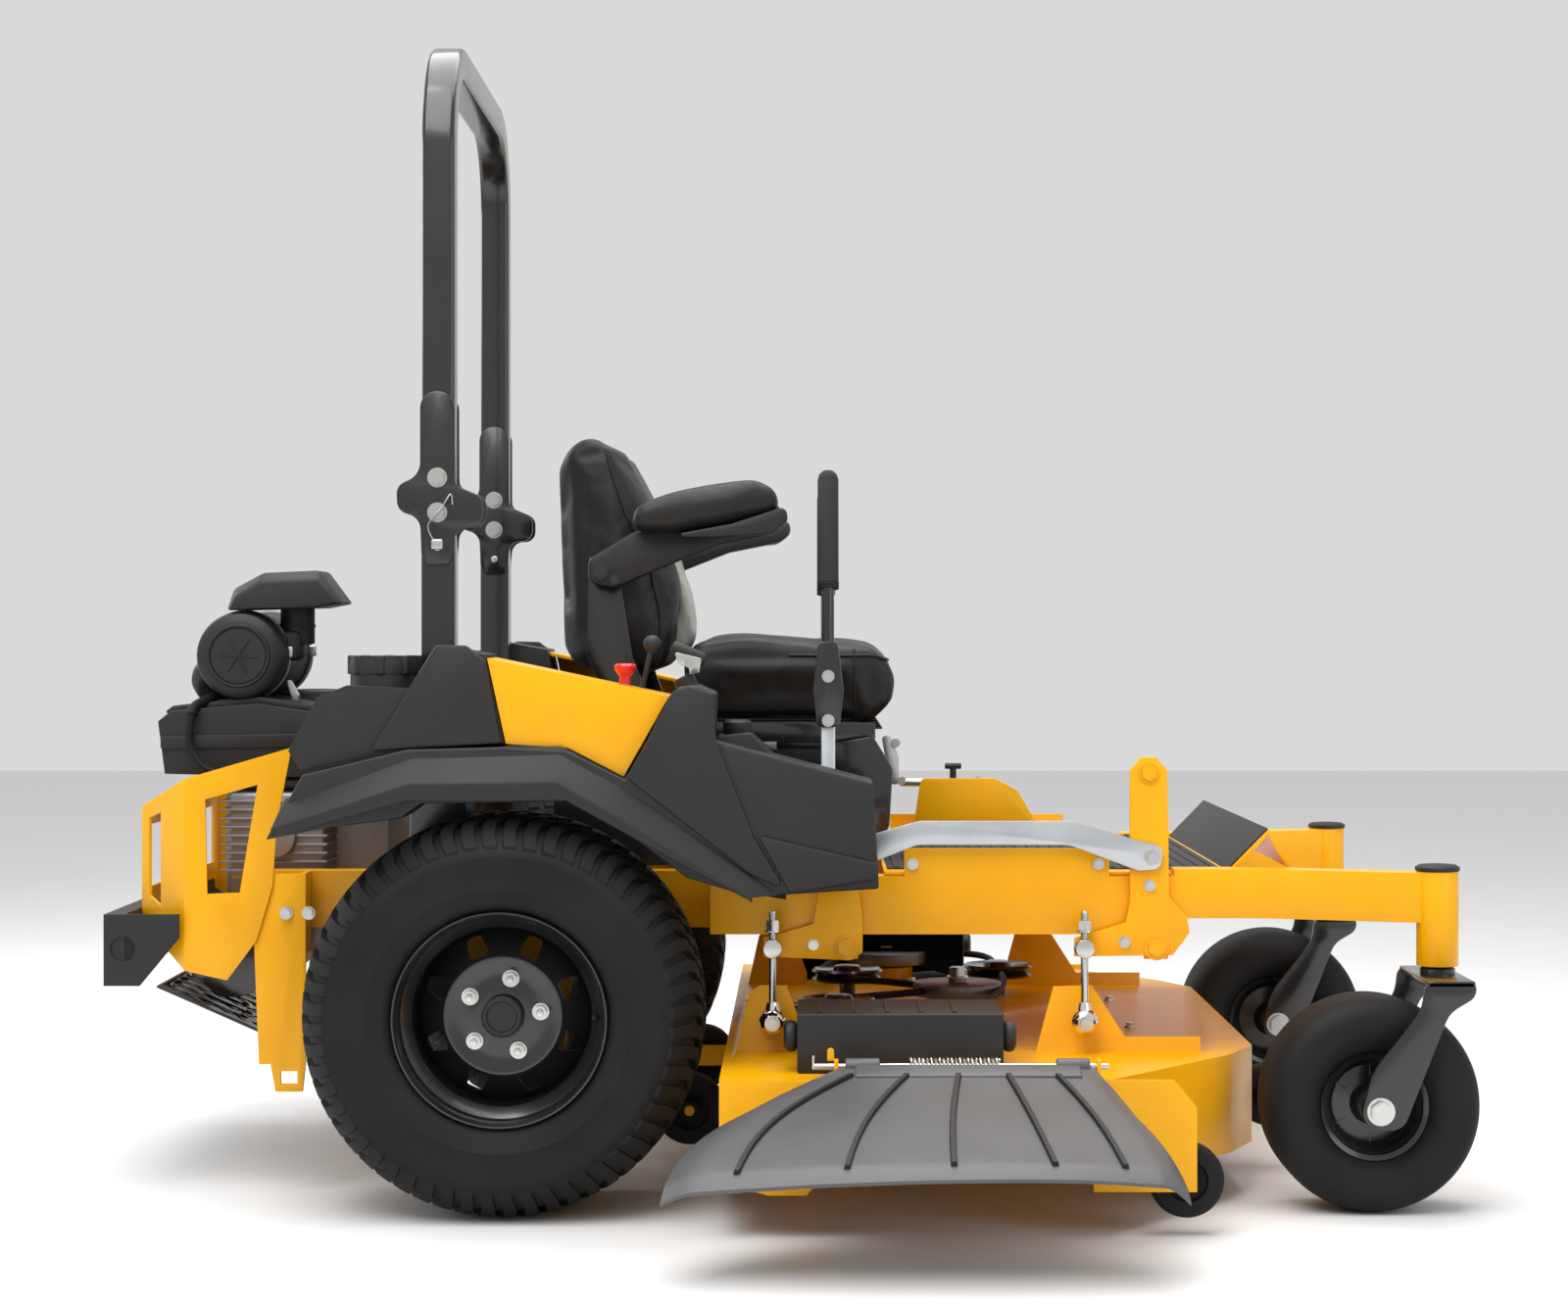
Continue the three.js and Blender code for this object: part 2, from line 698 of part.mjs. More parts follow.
function armrest() {
  const strap = sidePlate(
    [[-352, 960], [-352, 994], [-282, 1042], [-133, 1062], [-52, 1062], [-58, 1022], [-219, 994],
      [-329, 950]],
    -282,
    -250,
  );
  const pad = sidePlate(
    [[-292, 1034], [-284, 1075], [-219, 1102], [-94, 1122], [-63, 1108], [-50, 1066], [-141, 1040],
      [-219, 1026]],
    -335,
    -265,
  );
  return join(strap, pad);
}

function controlArm() {
  const { x, y, driveZ, swingZ } = LEVER;
  return join(block(x - 11, x + 11, y - 4, y + 4, driveZ, swingZ - 2), barY(x, driveZ, 18, y - 11, y + 11));
}

function lapBar() {
  const { x, y } = LEVER;
  return join(
    block(x - 20, x + 20, y - 10, y + 10, 741, 863),
    barZ(x, y, 9, 855, 955, 12),
    bar([x, y - 1, 945], [x, y + 50, 1135], 16, 12),
  );
}

function throttleLever() {
  return join(
    bar([-259, -540, 797], [-246, -540, 858], 4, 8),
    new THREE.SphereGeometry(13, 12, 8).translate(-245, -540, 864),
  );
}

const ptoKnob = () => join(barZ(-286, -540, 10, 801, 815), barZ(-286, -540, 15, 813, 826));

// ---------------------------------------------------------------- everything in place

add("main_frame", mainFrame(), yellowPaint());
add("foot_platform", footPlatform(), yellowPaint());
add("seat_pedestal", seatPedestal(), blackPaint());
add("engine_guard", engineGuard(), yellowPaint());
add("rear_bumper", rearBumper(), blackPlastic());
add("engine_block", engineBlock(), castMetal());
add("engine_shroud", engineShroud(), blackPlastic());
add("air_cleaner", airCleaner(), blackPlastic());
add("muffler", muffler(), blackPaint());
add("muffler_guard", mufflerGuard(), blackPaint());
addPair("transaxle", transaxle(), blackPaint);
addPair("fuel_tank", fuelTank(), blackPlastic);
addPair("fender_console", fenderConsole(), blackPlastic);
addPair("side_panel", sidePanel(), yellowPaint);
add("rops_base", ropsBase(), blackPaint());
add("rops_hoop", ropsHoop(), blackPaint());
addPair("rear_tyre", rearTyre(), rubber);
addPair("rear_rim", rearRim(), blackPaint);
addPair("caster_fork", casterFork(), blackPaint);
addPair("caster_tyre", casterTyre(), rubber);
addPair("caster_rim", casterRim(), blackPaint);
add("deck_shell", deckShell(), yellowPaint());
addPair("belt_cover", beltCover(), blackPlastic);
["right", "centre", "left"].forEach((place, i) => {
  add(`blade_${place}`, bladeSpindle(BLADE_CENTRES[i]), blackPaint());
});
add("discharge_chute", dischargeChute(), blackPlastic());
const scalpRightY = DECK_SIDES.right + SCALP_FRONT.inset;
const scalpLeftY = DECK_SIDES.left - SCALP_FRONT.inset;
add("scalp_wheel_front_R", scalpWheel(SCALP_FRONT, scalpRightY), rubber());
add("scalp_wheel_front_L", scalpWheel(SCALP_FRONT, scalpLeftY), rubber());
add("scalp_wheel_front_mid", scalpWheel(SCALP_MID, SCALP_MID.y), rubber());
addPair("scalp_wheel_rear", scalpWheel(SCALP_REAR, SCALP_REAR.y), rubber);
add("front_lift_crank", frontCrank(), yellowPaint());
add("rear_lift_crank", rearCrank(), yellowPaint());
addPair("front_hanger", hanger(CRANK.frontX - CRANK.arm), zinc);
addPair("rear_hanger", hanger(CRANK.rearX - CRANK.arm), zinc);
add("lift_link_bar", liftLink(), zinc());
add("seat_base", seatBase(), blackPaint());
add("seat_cushion", seatCushion(), vinyl());
add("seat_back", seatBack(), vinyl());
addPair("armrest", armrest(), vinyl);
addPair("control_arm", controlArm(), zinc);
addPair("lap_bar", lapBar(), blackPaint);
add("throttle_lever", throttleLever(), blackPlastic());
add("pto_knob", ptoKnob(), redPlastic());

export default machine;
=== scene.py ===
"""Zero turn mower: the visual model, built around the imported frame. Metres, +X forward, +Y left, +Z up."""
import json
import math
import sys

import bmesh
import bpy
from mathutils import Matrix, Vector
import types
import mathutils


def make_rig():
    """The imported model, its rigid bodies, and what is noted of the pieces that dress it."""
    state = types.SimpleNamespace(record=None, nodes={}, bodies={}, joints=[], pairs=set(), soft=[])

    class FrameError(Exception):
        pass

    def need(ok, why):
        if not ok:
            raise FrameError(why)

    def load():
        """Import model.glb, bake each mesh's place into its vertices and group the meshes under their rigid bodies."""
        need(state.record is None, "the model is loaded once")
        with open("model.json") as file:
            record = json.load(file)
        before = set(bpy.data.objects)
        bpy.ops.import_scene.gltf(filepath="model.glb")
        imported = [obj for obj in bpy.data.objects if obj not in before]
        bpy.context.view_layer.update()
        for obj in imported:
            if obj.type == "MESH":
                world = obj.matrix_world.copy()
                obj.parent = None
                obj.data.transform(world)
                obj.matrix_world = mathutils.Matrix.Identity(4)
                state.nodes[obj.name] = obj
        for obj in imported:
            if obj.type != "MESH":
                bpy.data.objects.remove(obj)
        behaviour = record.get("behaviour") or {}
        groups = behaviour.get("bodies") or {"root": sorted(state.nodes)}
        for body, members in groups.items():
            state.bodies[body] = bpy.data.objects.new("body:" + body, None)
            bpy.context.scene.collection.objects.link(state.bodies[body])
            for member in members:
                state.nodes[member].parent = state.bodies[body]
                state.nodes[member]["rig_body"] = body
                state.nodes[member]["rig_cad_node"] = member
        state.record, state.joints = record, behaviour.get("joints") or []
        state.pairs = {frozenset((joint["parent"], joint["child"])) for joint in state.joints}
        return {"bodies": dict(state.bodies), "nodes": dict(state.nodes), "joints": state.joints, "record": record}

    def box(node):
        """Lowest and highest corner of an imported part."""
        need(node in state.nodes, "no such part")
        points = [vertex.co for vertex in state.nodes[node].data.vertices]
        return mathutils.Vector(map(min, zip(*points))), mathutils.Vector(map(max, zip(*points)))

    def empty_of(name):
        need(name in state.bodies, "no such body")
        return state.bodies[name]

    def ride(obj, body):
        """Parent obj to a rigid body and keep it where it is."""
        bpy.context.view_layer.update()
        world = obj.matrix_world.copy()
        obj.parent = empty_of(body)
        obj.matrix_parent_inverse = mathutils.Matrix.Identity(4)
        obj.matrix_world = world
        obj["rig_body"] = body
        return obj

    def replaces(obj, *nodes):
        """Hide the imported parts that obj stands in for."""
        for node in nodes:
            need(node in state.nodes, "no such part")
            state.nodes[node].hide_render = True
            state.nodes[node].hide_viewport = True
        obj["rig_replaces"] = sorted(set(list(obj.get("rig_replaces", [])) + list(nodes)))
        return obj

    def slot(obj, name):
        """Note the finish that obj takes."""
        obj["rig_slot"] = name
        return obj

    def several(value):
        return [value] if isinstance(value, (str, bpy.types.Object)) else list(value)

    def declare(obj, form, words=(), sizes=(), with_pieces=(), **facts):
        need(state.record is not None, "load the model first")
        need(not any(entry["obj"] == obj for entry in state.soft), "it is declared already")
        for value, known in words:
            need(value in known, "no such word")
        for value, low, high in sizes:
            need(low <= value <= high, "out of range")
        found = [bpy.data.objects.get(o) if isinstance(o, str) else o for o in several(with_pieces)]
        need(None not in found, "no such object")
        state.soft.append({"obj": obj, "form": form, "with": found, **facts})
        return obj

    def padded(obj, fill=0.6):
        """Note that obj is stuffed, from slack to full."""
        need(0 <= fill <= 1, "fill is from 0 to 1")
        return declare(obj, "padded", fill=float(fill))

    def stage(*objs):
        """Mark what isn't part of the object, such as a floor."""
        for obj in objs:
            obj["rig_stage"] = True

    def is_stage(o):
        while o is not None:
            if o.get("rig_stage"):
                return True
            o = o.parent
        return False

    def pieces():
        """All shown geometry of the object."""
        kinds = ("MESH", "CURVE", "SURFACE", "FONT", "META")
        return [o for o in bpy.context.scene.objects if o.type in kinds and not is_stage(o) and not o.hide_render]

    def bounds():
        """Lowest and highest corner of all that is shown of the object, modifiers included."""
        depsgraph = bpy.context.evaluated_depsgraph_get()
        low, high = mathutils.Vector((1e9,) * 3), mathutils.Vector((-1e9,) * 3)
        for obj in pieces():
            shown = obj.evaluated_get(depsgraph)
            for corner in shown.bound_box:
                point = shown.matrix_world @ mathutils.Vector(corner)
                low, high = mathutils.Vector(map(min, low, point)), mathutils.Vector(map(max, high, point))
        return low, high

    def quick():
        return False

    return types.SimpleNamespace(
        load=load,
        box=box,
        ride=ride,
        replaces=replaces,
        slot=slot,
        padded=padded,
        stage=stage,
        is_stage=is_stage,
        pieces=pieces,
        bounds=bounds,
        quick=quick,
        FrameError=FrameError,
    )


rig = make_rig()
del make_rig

bl_info = {
    "name": "Zero Turn Mower",
    "version": (1, 0, 0),
    "blender": (4, 5, 0),
    "location": "View3D > Sidebar > Mower",
    "description": "Builds the bodywork, wheels, seat, controls and fasteners of a zero turn mower",
    "category": "Object",
}

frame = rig.load()
CAD_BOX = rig.bounds()
BODY_OF = {node: body for body, nodes in frame["record"]["behaviour"]["bodies"].items() for node in nodes}
SLOT_OF = {part["node"]: part["material_slot"] for part in frame["record"]["subparts"]}
JOINTS = {joint["name"]: joint for joint in frame["record"]["behaviour"]["joints"]}


def lowest(node):
    return Vector(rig.box(node)[0])


def highest(node):
    return Vector(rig.box(node)[1])


def middle(node):
    return (lowest(node) + highest(node)) / 2


def pivot(joint):
    return Vector(JOINTS[joint]["pos_m"])


# ---------------------------------------------------------------- settings


class MowerPaint(bpy.types.PropertyGroup):
    """Colours of the mower's finishes"""

    body: bpy.props.FloatVectorProperty(
        name="Body paint", description="Powder coat on the frame and deck", subtype="COLOR",
        size=3, min=0, max=1, default=(0.87, 0.40, 0.0))
    black: bpy.props.FloatVectorProperty(
        name="Black paint", description="Powder coat on the roll bar and rims", subtype="COLOR",
        size=3, min=0, max=1, default=(0.008, 0.008, 0.009))
    plastic: bpy.props.FloatVectorProperty(
        name="Plastic", description="Moulded fenders, tanks and covers", subtype="COLOR",
        size=3, min=0, max=1, default=(0.014, 0.014, 0.015))
    vinyl: bpy.props.FloatVectorProperty(
        name="Seat vinyl", description="Black vinyl on the seat", subtype="COLOR",
        size=3, min=0, max=1, default=(0.009, 0.009, 0.0095))
    insert: bpy.props.FloatVectorProperty(
        name="Seat insert", description="Grey vinyl on the front of the backrest", subtype="COLOR",
        size=3, min=0, max=1, default=(0.36, 0.345, 0.315))
    knob: bpy.props.FloatVectorProperty(
        name="Blade switch", description="Red knob that starts the blades", subtype="COLOR",
        size=3, min=0, max=1, default=(0.55, 0.006, 0.012))


class MowerTrim(bpy.types.PropertyGroup):
    """Sizes of the mower's finer pieces"""

    sheet_edge: bpy.props.FloatProperty(
        name="Sheet edge", description="Rounding on cut steel edges", subtype="DISTANCE",
        unit="LENGTH", min=0, default=0.0012)
    moulded_edge: bpy.props.FloatProperty(
        name="Moulded edge", description="Rounding on plastic corners", subtype="DISTANCE",
        unit="LENGTH", min=0, default=0.006)
    tread_pitches: bpy.props.IntProperty(
        name="Tread pitches", description="Tread repeats around a drive tyre", min=8, default=56)
    tread_depth: bpy.props.FloatProperty(
        name="Tread depth", description="Height of the turf lugs", subtype="DISTANCE",
        unit="LENGTH", min=0, default=0.009)
    lug_nuts: bpy.props.IntProperty(
        name="Lug nuts", description="Nuts on a drive wheel", min=3, default=5)


# ---------------------------------------------------------------- materials


def surface(name, color, roughness, metallic=0.0, coat=0.0, grain=300.0, depth=0.0002,
            blotch=0.12, dust=0.0, gloss=0.5):
    """A finish with mottled colour, uneven roughness and a fine relief."""
    found = bpy.data.materials.get(name)
    if found:
        return found
    material = bpy.data.materials.new(name)
    material.use_nodes = True
    nodes, links = material.node_tree.nodes, material.node_tree.links
    shader = nodes["Principled BSDF"]
    shader.inputs["Metallic"].default_value = metallic
    shader.inputs["Coat Weight"].default_value = coat
    shader.inputs["Coat Roughness"].default_value = 0.12
    shader.inputs["Specular IOR Level"].default_value = gloss
    place = nodes.new("ShaderNodeTexCoord")
    broad = nodes.new("ShaderNodeTexNoise")
    broad.inputs["Scale"].default_value = 9.0
    broad.inputs["Detail"].default_value = 5.0
    links.new(place.outputs["Object"], broad.inputs["Vector"])
    tint = nodes.new("ShaderNodeValToRGB")
    tint.color_ramp.elements[0].position = 0.3
    tint.color_ramp.elements[1].position = 0.75
    tint.color_ramp.elements[0].color = (*[c * (1 - blotch) for c in color], 1)
    tint.color_ramp.elements[1].color = (*[min(1, c * (1 + blotch) + dust) for c in color], 1)
    links.new(broad.outputs["Fac"], tint.inputs["Fac"])
    links.new(tint.outputs["Color"], shader.inputs["Base Color"])
    uneven = nodes.new("ShaderNodeMapRange")
    uneven.inputs["To Min"].default_value = max(0.02, roughness - 0.07)
    uneven.inputs["To Max"].default_value = min(1.0, roughness + 0.07)
    links.new(broad.outputs["Fac"], uneven.inputs["Value"])
    links.new(uneven.outputs["Result"], shader.inputs["Roughness"])
    fine = nodes.new("ShaderNodeTexNoise")
    fine.inputs["Scale"].default_value = grain
    fine.inputs["Detail"].default_value = 3.0
    links.new(place.outputs["Object"], fine.inputs["Vector"])
    relief = nodes.new("ShaderNodeBump")
    relief.inputs["Strength"].default_value = 0.5
    relief.inputs["Distance"].default_value = depth
    links.new(fine.outputs["Fac"], relief.inputs["Height"])
    links.new(relief.outputs["Normal"], shader.inputs["Normal"])
    return material


def vinyl_grain(name, color):
    """Padded vinyl: pebbled grain from cells, over broad soft mottling."""
    material = surface(name, color, 0.48, coat=0.06, grain=120.0, depth=0.0003, blotch=0.18,
                       gloss=0.3)
    nodes, links = material.node_tree.nodes, material.node_tree.links
    if "Pebble" not in nodes:
        cells = nodes.new("ShaderNodeTexVoronoi")
        cells.name = "Pebble"
        cells.inputs["Scale"].default_value = 420.0
        links.new(nodes["Texture Coordinate"].outputs["Object"], cells.inputs["Vector"])
        pebble = nodes.new("ShaderNodeBump")
        pebble.inputs["Strength"].default_value = 0.55
        pebble.inputs["Distance"].default_value = 0.0004
        links.new(cells.outputs["Distance"], pebble.inputs["Height"])
        links.new(nodes["Bump"].outputs["Normal"], pebble.inputs["Normal"])
        links.new(pebble.outputs["Normal"], nodes["Principled BSDF"].inputs["Normal"])
    return material


def finish_of(slot):
    paint = bpy.context.scene.mower_paint
    if slot == "yellow_paint":
        return surface("Yellow powder coat", paint.body, 0.36, coat=0.12, grain=240, depth=0.00012,
                       blotch=0.05, gloss=0.25)
    if slot == "black_paint":
        return surface("Black powder coat", paint.black, 0.24, coat=0.5, grain=260, depth=0.00015)
    if slot == "black_plastic":
        return surface("Grained black plastic", paint.plastic, 0.52, grain=900, depth=0.0003,
                       gloss=0.4)
    if slot == "cast_metal":
        return surface("Cast alloy", (0.30, 0.30, 0.31), 0.5, metallic=0.85, grain=320, depth=0.0005)
    if slot == "tyre_rubber":
        return surface("Tyre rubber", (0.009, 0.009, 0.0095), 0.62, grain=420, depth=0.0004,
                       blotch=0.25, dust=0.002, gloss=0.2)
    if slot == "bare_steel":
        return surface("Blade steel", (0.2, 0.2, 0.21), 0.42, metallic=0.9, grain=200, depth=0.0003)
    if slot == "zinc_plate":
        return surface("Zinc plate", (0.56, 0.58, 0.60), 0.34, metallic=0.95, grain=150, depth=0.0002)
    if slot == "seat_vinyl":
        return vinyl_grain("Black seat vinyl", paint.vinyl)
    if slot == "seat_insert":
        return vinyl_grain("Grey seat vinyl", paint.insert)
    if slot == "red_plastic":
        return surface("Red plastic", paint.knob, 0.25, coat=0.4, grain=300, depth=0.0001)
    if slot == "bright_bolt":
        return surface("Plated bolt", (0.62, 0.62, 0.60), 0.26, metallic=1.0, grain=400, depth=0.0001)
    if slot == "chrome":
        return surface("Chrome", (0.78, 0.78, 0.79), 0.08, metallic=1.0, grain=100, depth=0.00005)
    if slot == "grey_plastic":
        return surface("Grey chute plastic", (0.085, 0.085, 0.088), 0.42, grain=700, depth=0.0002)
    if slot == "copper_wire":
        return surface("Passivated spring steel", (0.42, 0.26, 0.10), 0.3, metallic=0.95, grain=200)
    if slot == "foam":
        return surface("Foam grip", (0.012, 0.012, 0.012), 0.8, grain=1100, depth=0.0005)
    if slot == "mat_rubber":
        return surface("Grip mat", (0.03, 0.03, 0.031), 0.75, grain=1400, depth=0.0007)
    raise ValueError("no finish called " + slot)


# ---------------------------------------------------------------- mesh helpers


def object_from(name, bm, slot, smooth=35.0):
    """Turns a bmesh into a shown object with its finish, smooth where the surface is round."""
    bmesh.ops.remove_doubles(bm, verts=bm.verts, dist=1e-6)
    bmesh.ops.recalc_face_normals(bm, faces=bm.faces)
    limit = math.radians(smooth)
    for face in bm.faces:
        face.smooth = True
    for edge in bm.edges:
        edge.smooth = len(edge.link_faces) == 2 and edge.calc_face_angle(0.0) < limit
    mesh = bpy.data.meshes.new(name)
    bm.to_mesh(mesh)
    bm.free()
    piece = bpy.data.objects.new(name, mesh)
    bpy.context.scene.collection.objects.link(piece)
    mesh.materials.append(finish_of(slot))
    return piece


def baked(piece):
    """Applies the piece's modifiers and leaves a plain mesh."""
    graph = bpy.context.evaluated_depsgraph_get()
    mesh = bpy.data.meshes.new_from_object(piece.evaluated_get(graph))
    piece.modifiers.clear()
    old = piece.data
    piece.data = mesh
    bpy.data.meshes.remove(old)
    return piece


def joined(name, slot, bms, smooth=35.0):
    """One object from several closed bmeshes."""
    whole = bmesh.new()
    for bm in bms:
        bmesh.ops.recalc_face_normals(bm, faces=bm.faces)
        part = bpy.data.meshes.new("part")
        bm.to_mesh(part)
        bm.free()
        whole.from_mesh(part)
        bpy.data.meshes.remove(part)
    return object_from(name, whole, slot, smooth)


def lathe(profile, centre, axis="Y", segments=96):
    """A closed ring turned from [radius, along] points about an axis through centre."""
    bm = bmesh.new()
    rings = []
    for step in range(segments):
        turn = 2 * math.pi * step / segments
        ring = []
        for radius, along in profile:
            point = Vector((radius * math.sin(turn), along, radius * math.cos(turn)))
            if axis == "Z":
                point = Vector((point.x, -point.z, point.y))
            elif axis == "X":
                point = Vector((point.y, point.x, point.z))
            ring.append(bm.verts.new(centre + point))
        rings.append(ring)
    count = len(profile)
    for step in range(segments):
        here, there = rings[step], rings[(step + 1) % segments]
        for i in range(count):
            j = (i + 1) % count
            bm.faces.new((here[i], there[i], there[j], here[j]))
    bmesh.ops.remove_doubles(bm, verts=bm.verts, dist=1e-7)
    bmesh.ops.dissolve_degenerate(bm, edges=bm.edges, dist=1e-8)
    return bm


def rod(start, end, radius, sides=20, round_end=0.0):
    """A round bar between two points, with its ends eased when round_end is given."""
    start, end = Vector(start), Vector(end)
    along = end - start
    ease = min(round_end, along.length / 3)
    bend = [math.radians(degrees) for degrees in (0, 30, 60, 90)]
    near = [(radius - ease + ease * math.sin(a), ease - ease * math.cos(a)) for a in bend]
    far = [(r, along.length - depth) for r, depth in near[::-1]]
    profile = [(0, 0), *near, *far, (0, along.length)]
    bm = lathe(profile, Vector(), segments=sides)
    turn = Vector((0, 1, 0)).rotation_difference(along.normalized()).to_matrix().to_4x4()
    bm.transform(Matrix.Translation(start) @ turn)
    return bm


def swept(points, radius, sides=10):
    """A tube along a smooth line through the points."""
    line = bpy.data.curves.new("line", "CURVE")
    line.dimensions = "3D"
    line.bevel_depth = radius
    line.bevel_resolution = max(1, sides // 4)
    line.use_fill_caps = True
    spline = line.splines.new("POLY")
    spline.points.add(len(points) - 1)
    for node, point in zip(spline.points, points):
        node.co = (*point, 1)
    holder = bpy.data.objects.new("line", line)
    bpy.context.scene.collection.objects.link(holder)
    graph = bpy.context.evaluated_depsgraph_get()
    mesh = bpy.data.meshes.new_from_object(holder.evaluated_get(graph))
    bm = bmesh.new()
    bm.from_mesh(mesh)
    bmesh.ops.remove_doubles(bm, verts=bm.verts, dist=1e-6)
    bpy.data.objects.remove(holder)
    bpy.data.curves.remove(line)
    bpy.data.meshes.remove(mesh)
    return bm


def brick(low, high, edge=0.0):
    """A box with eased edges."""
    bm = bmesh.new()
    low, high = Vector(low), Vector(high)
    bmesh.ops.create_cube(bm, size=1.0)
    size = high - low
    bm.transform(Matrix.Translation((low + high) / 2) @ Matrix.Diagonal((*size, 1)))
    if edge:
        bmesh.ops.bevel(bm, geom=bm.edges[:], offset=edge, segments=3, profile=0.5, affect="EDGES")
    return bm


def hex_head(centre, outward, across, height):
    """A hexagon bolt head with a washer face, pointing along outward."""
    outward = Vector(outward).normalized()
    bm = bmesh.new()
    bmesh.ops.create_cone(bm, cap_ends=True, segments=6, radius1=across / math.sqrt(3),
                          radius2=across / math.sqrt(3), depth=height)
    bmesh.ops.bevel(bm, geom=bm.edges[:], offset=across * 0.06, segments=2, affect="EDGES")
    bm.transform(Matrix.Translation((0, 0, height / 2 + 0.0015)))
    bmesh.ops.create_cone(bm, cap_ends=True, segments=24, radius1=across * 0.72,
                          radius2=across * 0.70, depth=0.002,
                          matrix=Matrix.Translation((0, 0, 0.001)))
    turn = Vector((0, 0, 1)).rotation_difference(outward).to_matrix().to_4x4()
    bm.transform(Matrix.Translation(Vector(centre)) @ turn)
    return bm


def place(piece, body, slot, *nodes):
    """Puts a finished piece on its body."""
    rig.ride(piece, body)
    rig.slot(piece, slot)
    if nodes:
        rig.replaces(piece, *nodes)
    return piece


def softened(node, edge, segments=3, slot=None, angle=32.0):
    """A CAD node's own shape with its corners eased, standing in for the node."""
    bm = bmesh.new()
    bm.from_mesh(frame["nodes"][node].data)
    bmesh.ops.remove_doubles(bm, verts=bm.verts, dist=2e-6)
    bmesh.ops.dissolve_limit(bm, angle_limit=math.radians(0.8), verts=bm.verts, edges=bm.edges)
    mesh = bpy.data.meshes.new(node + "_shape")
    bm.to_mesh(mesh)
    bm.free()
    piece = bpy.data.objects.new(node + "_finished", mesh)
    bpy.context.scene.collection.objects.link(piece)
    ease = piece.modifiers.new("Ease", "BEVEL")
    ease.width = edge
    ease.segments = segments
    ease.limit_method = "ANGLE"
    ease.angle_limit = math.radians(angle)
    ease.use_clamp_overlap = True
    baked(piece)
    for face in piece.data.polygons:
        face.use_smooth = True
    piece.data.set_sharp_from_angle(angle=math.radians(angle))
    piece.data.materials.clear()
    piece.data.materials.append(finish_of(slot or SLOT_OF[node]))
    return place(piece, BODY_OF[node], SLOT_OF[node], node)


# ---------------------------------------------------------------- repeating pieces


def ring_tree():
    """Geometry nodes: repeats a shape around the Y axis."""
    found = bpy.data.node_groups.get("Ring of copies")
    if found:
        return found
    tree = bpy.data.node_groups.new("Ring of copies", "GeometryNodeTree")
    tree.interface.new_socket("Geometry", in_out="INPUT", socket_type="NodeSocketGeometry")
    tree.interface.new_socket("Count", in_out="INPUT", socket_type="NodeSocketInt")
    tree.interface.new_socket("Material", in_out="INPUT", socket_type="NodeSocketMaterial")
    tree.interface.new_socket("Geometry", in_out="OUTPUT", socket_type="NodeSocketGeometry")
    nodes, links = tree.nodes, tree.links
    given = nodes.new("NodeGroupInput")
    result = nodes.new("NodeGroupOutput")
    points = nodes.new("GeometryNodePoints")
    index = nodes.new("GeometryNodeInputIndex")
    turn = nodes.new("ShaderNodeMath")
    turn.operation = "DIVIDE"
    full = nodes.new("ShaderNodeMath")
    full.operation = "MULTIPLY"
    full.inputs[1].default_value = 2 * math.pi
    spin = nodes.new("ShaderNodeCombineXYZ")
    copies = nodes.new("GeometryNodeInstanceOnPoints")
    solid = nodes.new("GeometryNodeRealizeInstances")
    coat = nodes.new("GeometryNodeSetMaterial")
    links.new(given.outputs["Count"], points.inputs["Count"])
    links.new(index.outputs[0], turn.inputs[0])
    links.new(given.outputs["Count"], turn.inputs[1])
    links.new(turn.outputs[0], full.inputs[0])
    links.new(full.outputs[0], spin.inputs["Y"])
    links.new(points.outputs[0], copies.inputs["Points"])
    links.new(given.outputs["Geometry"], copies.inputs["Instance"])
    links.new(spin.outputs[0], copies.inputs["Rotation"])
    links.new(copies.outputs[0], solid.inputs[0])
    links.new(solid.outputs[0], coat.inputs["Geometry"])
    links.new(given.outputs["Material"], coat.inputs["Material"])
    links.new(coat.outputs[0], result.inputs[0])
    return tree


def ringed(name, bms, count, centre, slot, smooth=35.0):
    """Copies of a shape set around a Y axis through centre. The shape is modelled about the origin."""
    piece = joined(name, slot, bms, smooth)
    modifier = piece.modifiers.new("Ring", "NODES")
    modifier.node_group = ring_tree()
    sockets = {s.name: s.identifier for s in ring_tree().interface.items_tree if s.in_out == "INPUT"}
    modifier[sockets["Count"]] = count
    modifier[sockets["Material"]] = finish_of(slot)
    baked(piece)
    piece.data.transform(Matrix.Translation(centre))
    return piece


# ---------------------------------------------------------------- flat pieces


def rounded(points):
    """The outline through [a, b, radius] corners, each turned on an arc of its radius."""
    line = []
    count = len(points)
    for i, (a, b, *extra) in enumerate(points):
        corner = Vector((a, b))
        radius = extra[0] if extra else 0
        before = Vector(points[i - 1][:2]) - corner
        after = Vector(points[(i + 1) % count][:2]) - corner
        if not radius:
            line.append(corner)
            continue
        half = before.angle(after) / 2
        reach = min(radius / math.tan(half), 0.48 * before.length, 0.48 * after.length)
        centre_gap = reach / math.cos(half)
        centre = corner + (before.normalized() + after.normalized()).normalized() * centre_gap
        start = corner + before.normalized() * reach - centre
        end = corner + after.normalized() * reach - centre
        steps = max(3, int(math.degrees(math.pi - 2 * half) / 12))
        sweep = start.angle_signed(end)
        for step in range(steps + 1):
            turn = -sweep * step / steps
            line.append(centre + Vector((
                start.x * math.cos(turn) - start.y * math.sin(turn),
                start.x * math.sin(turn) + start.y * math.cos(turn))))
    return line


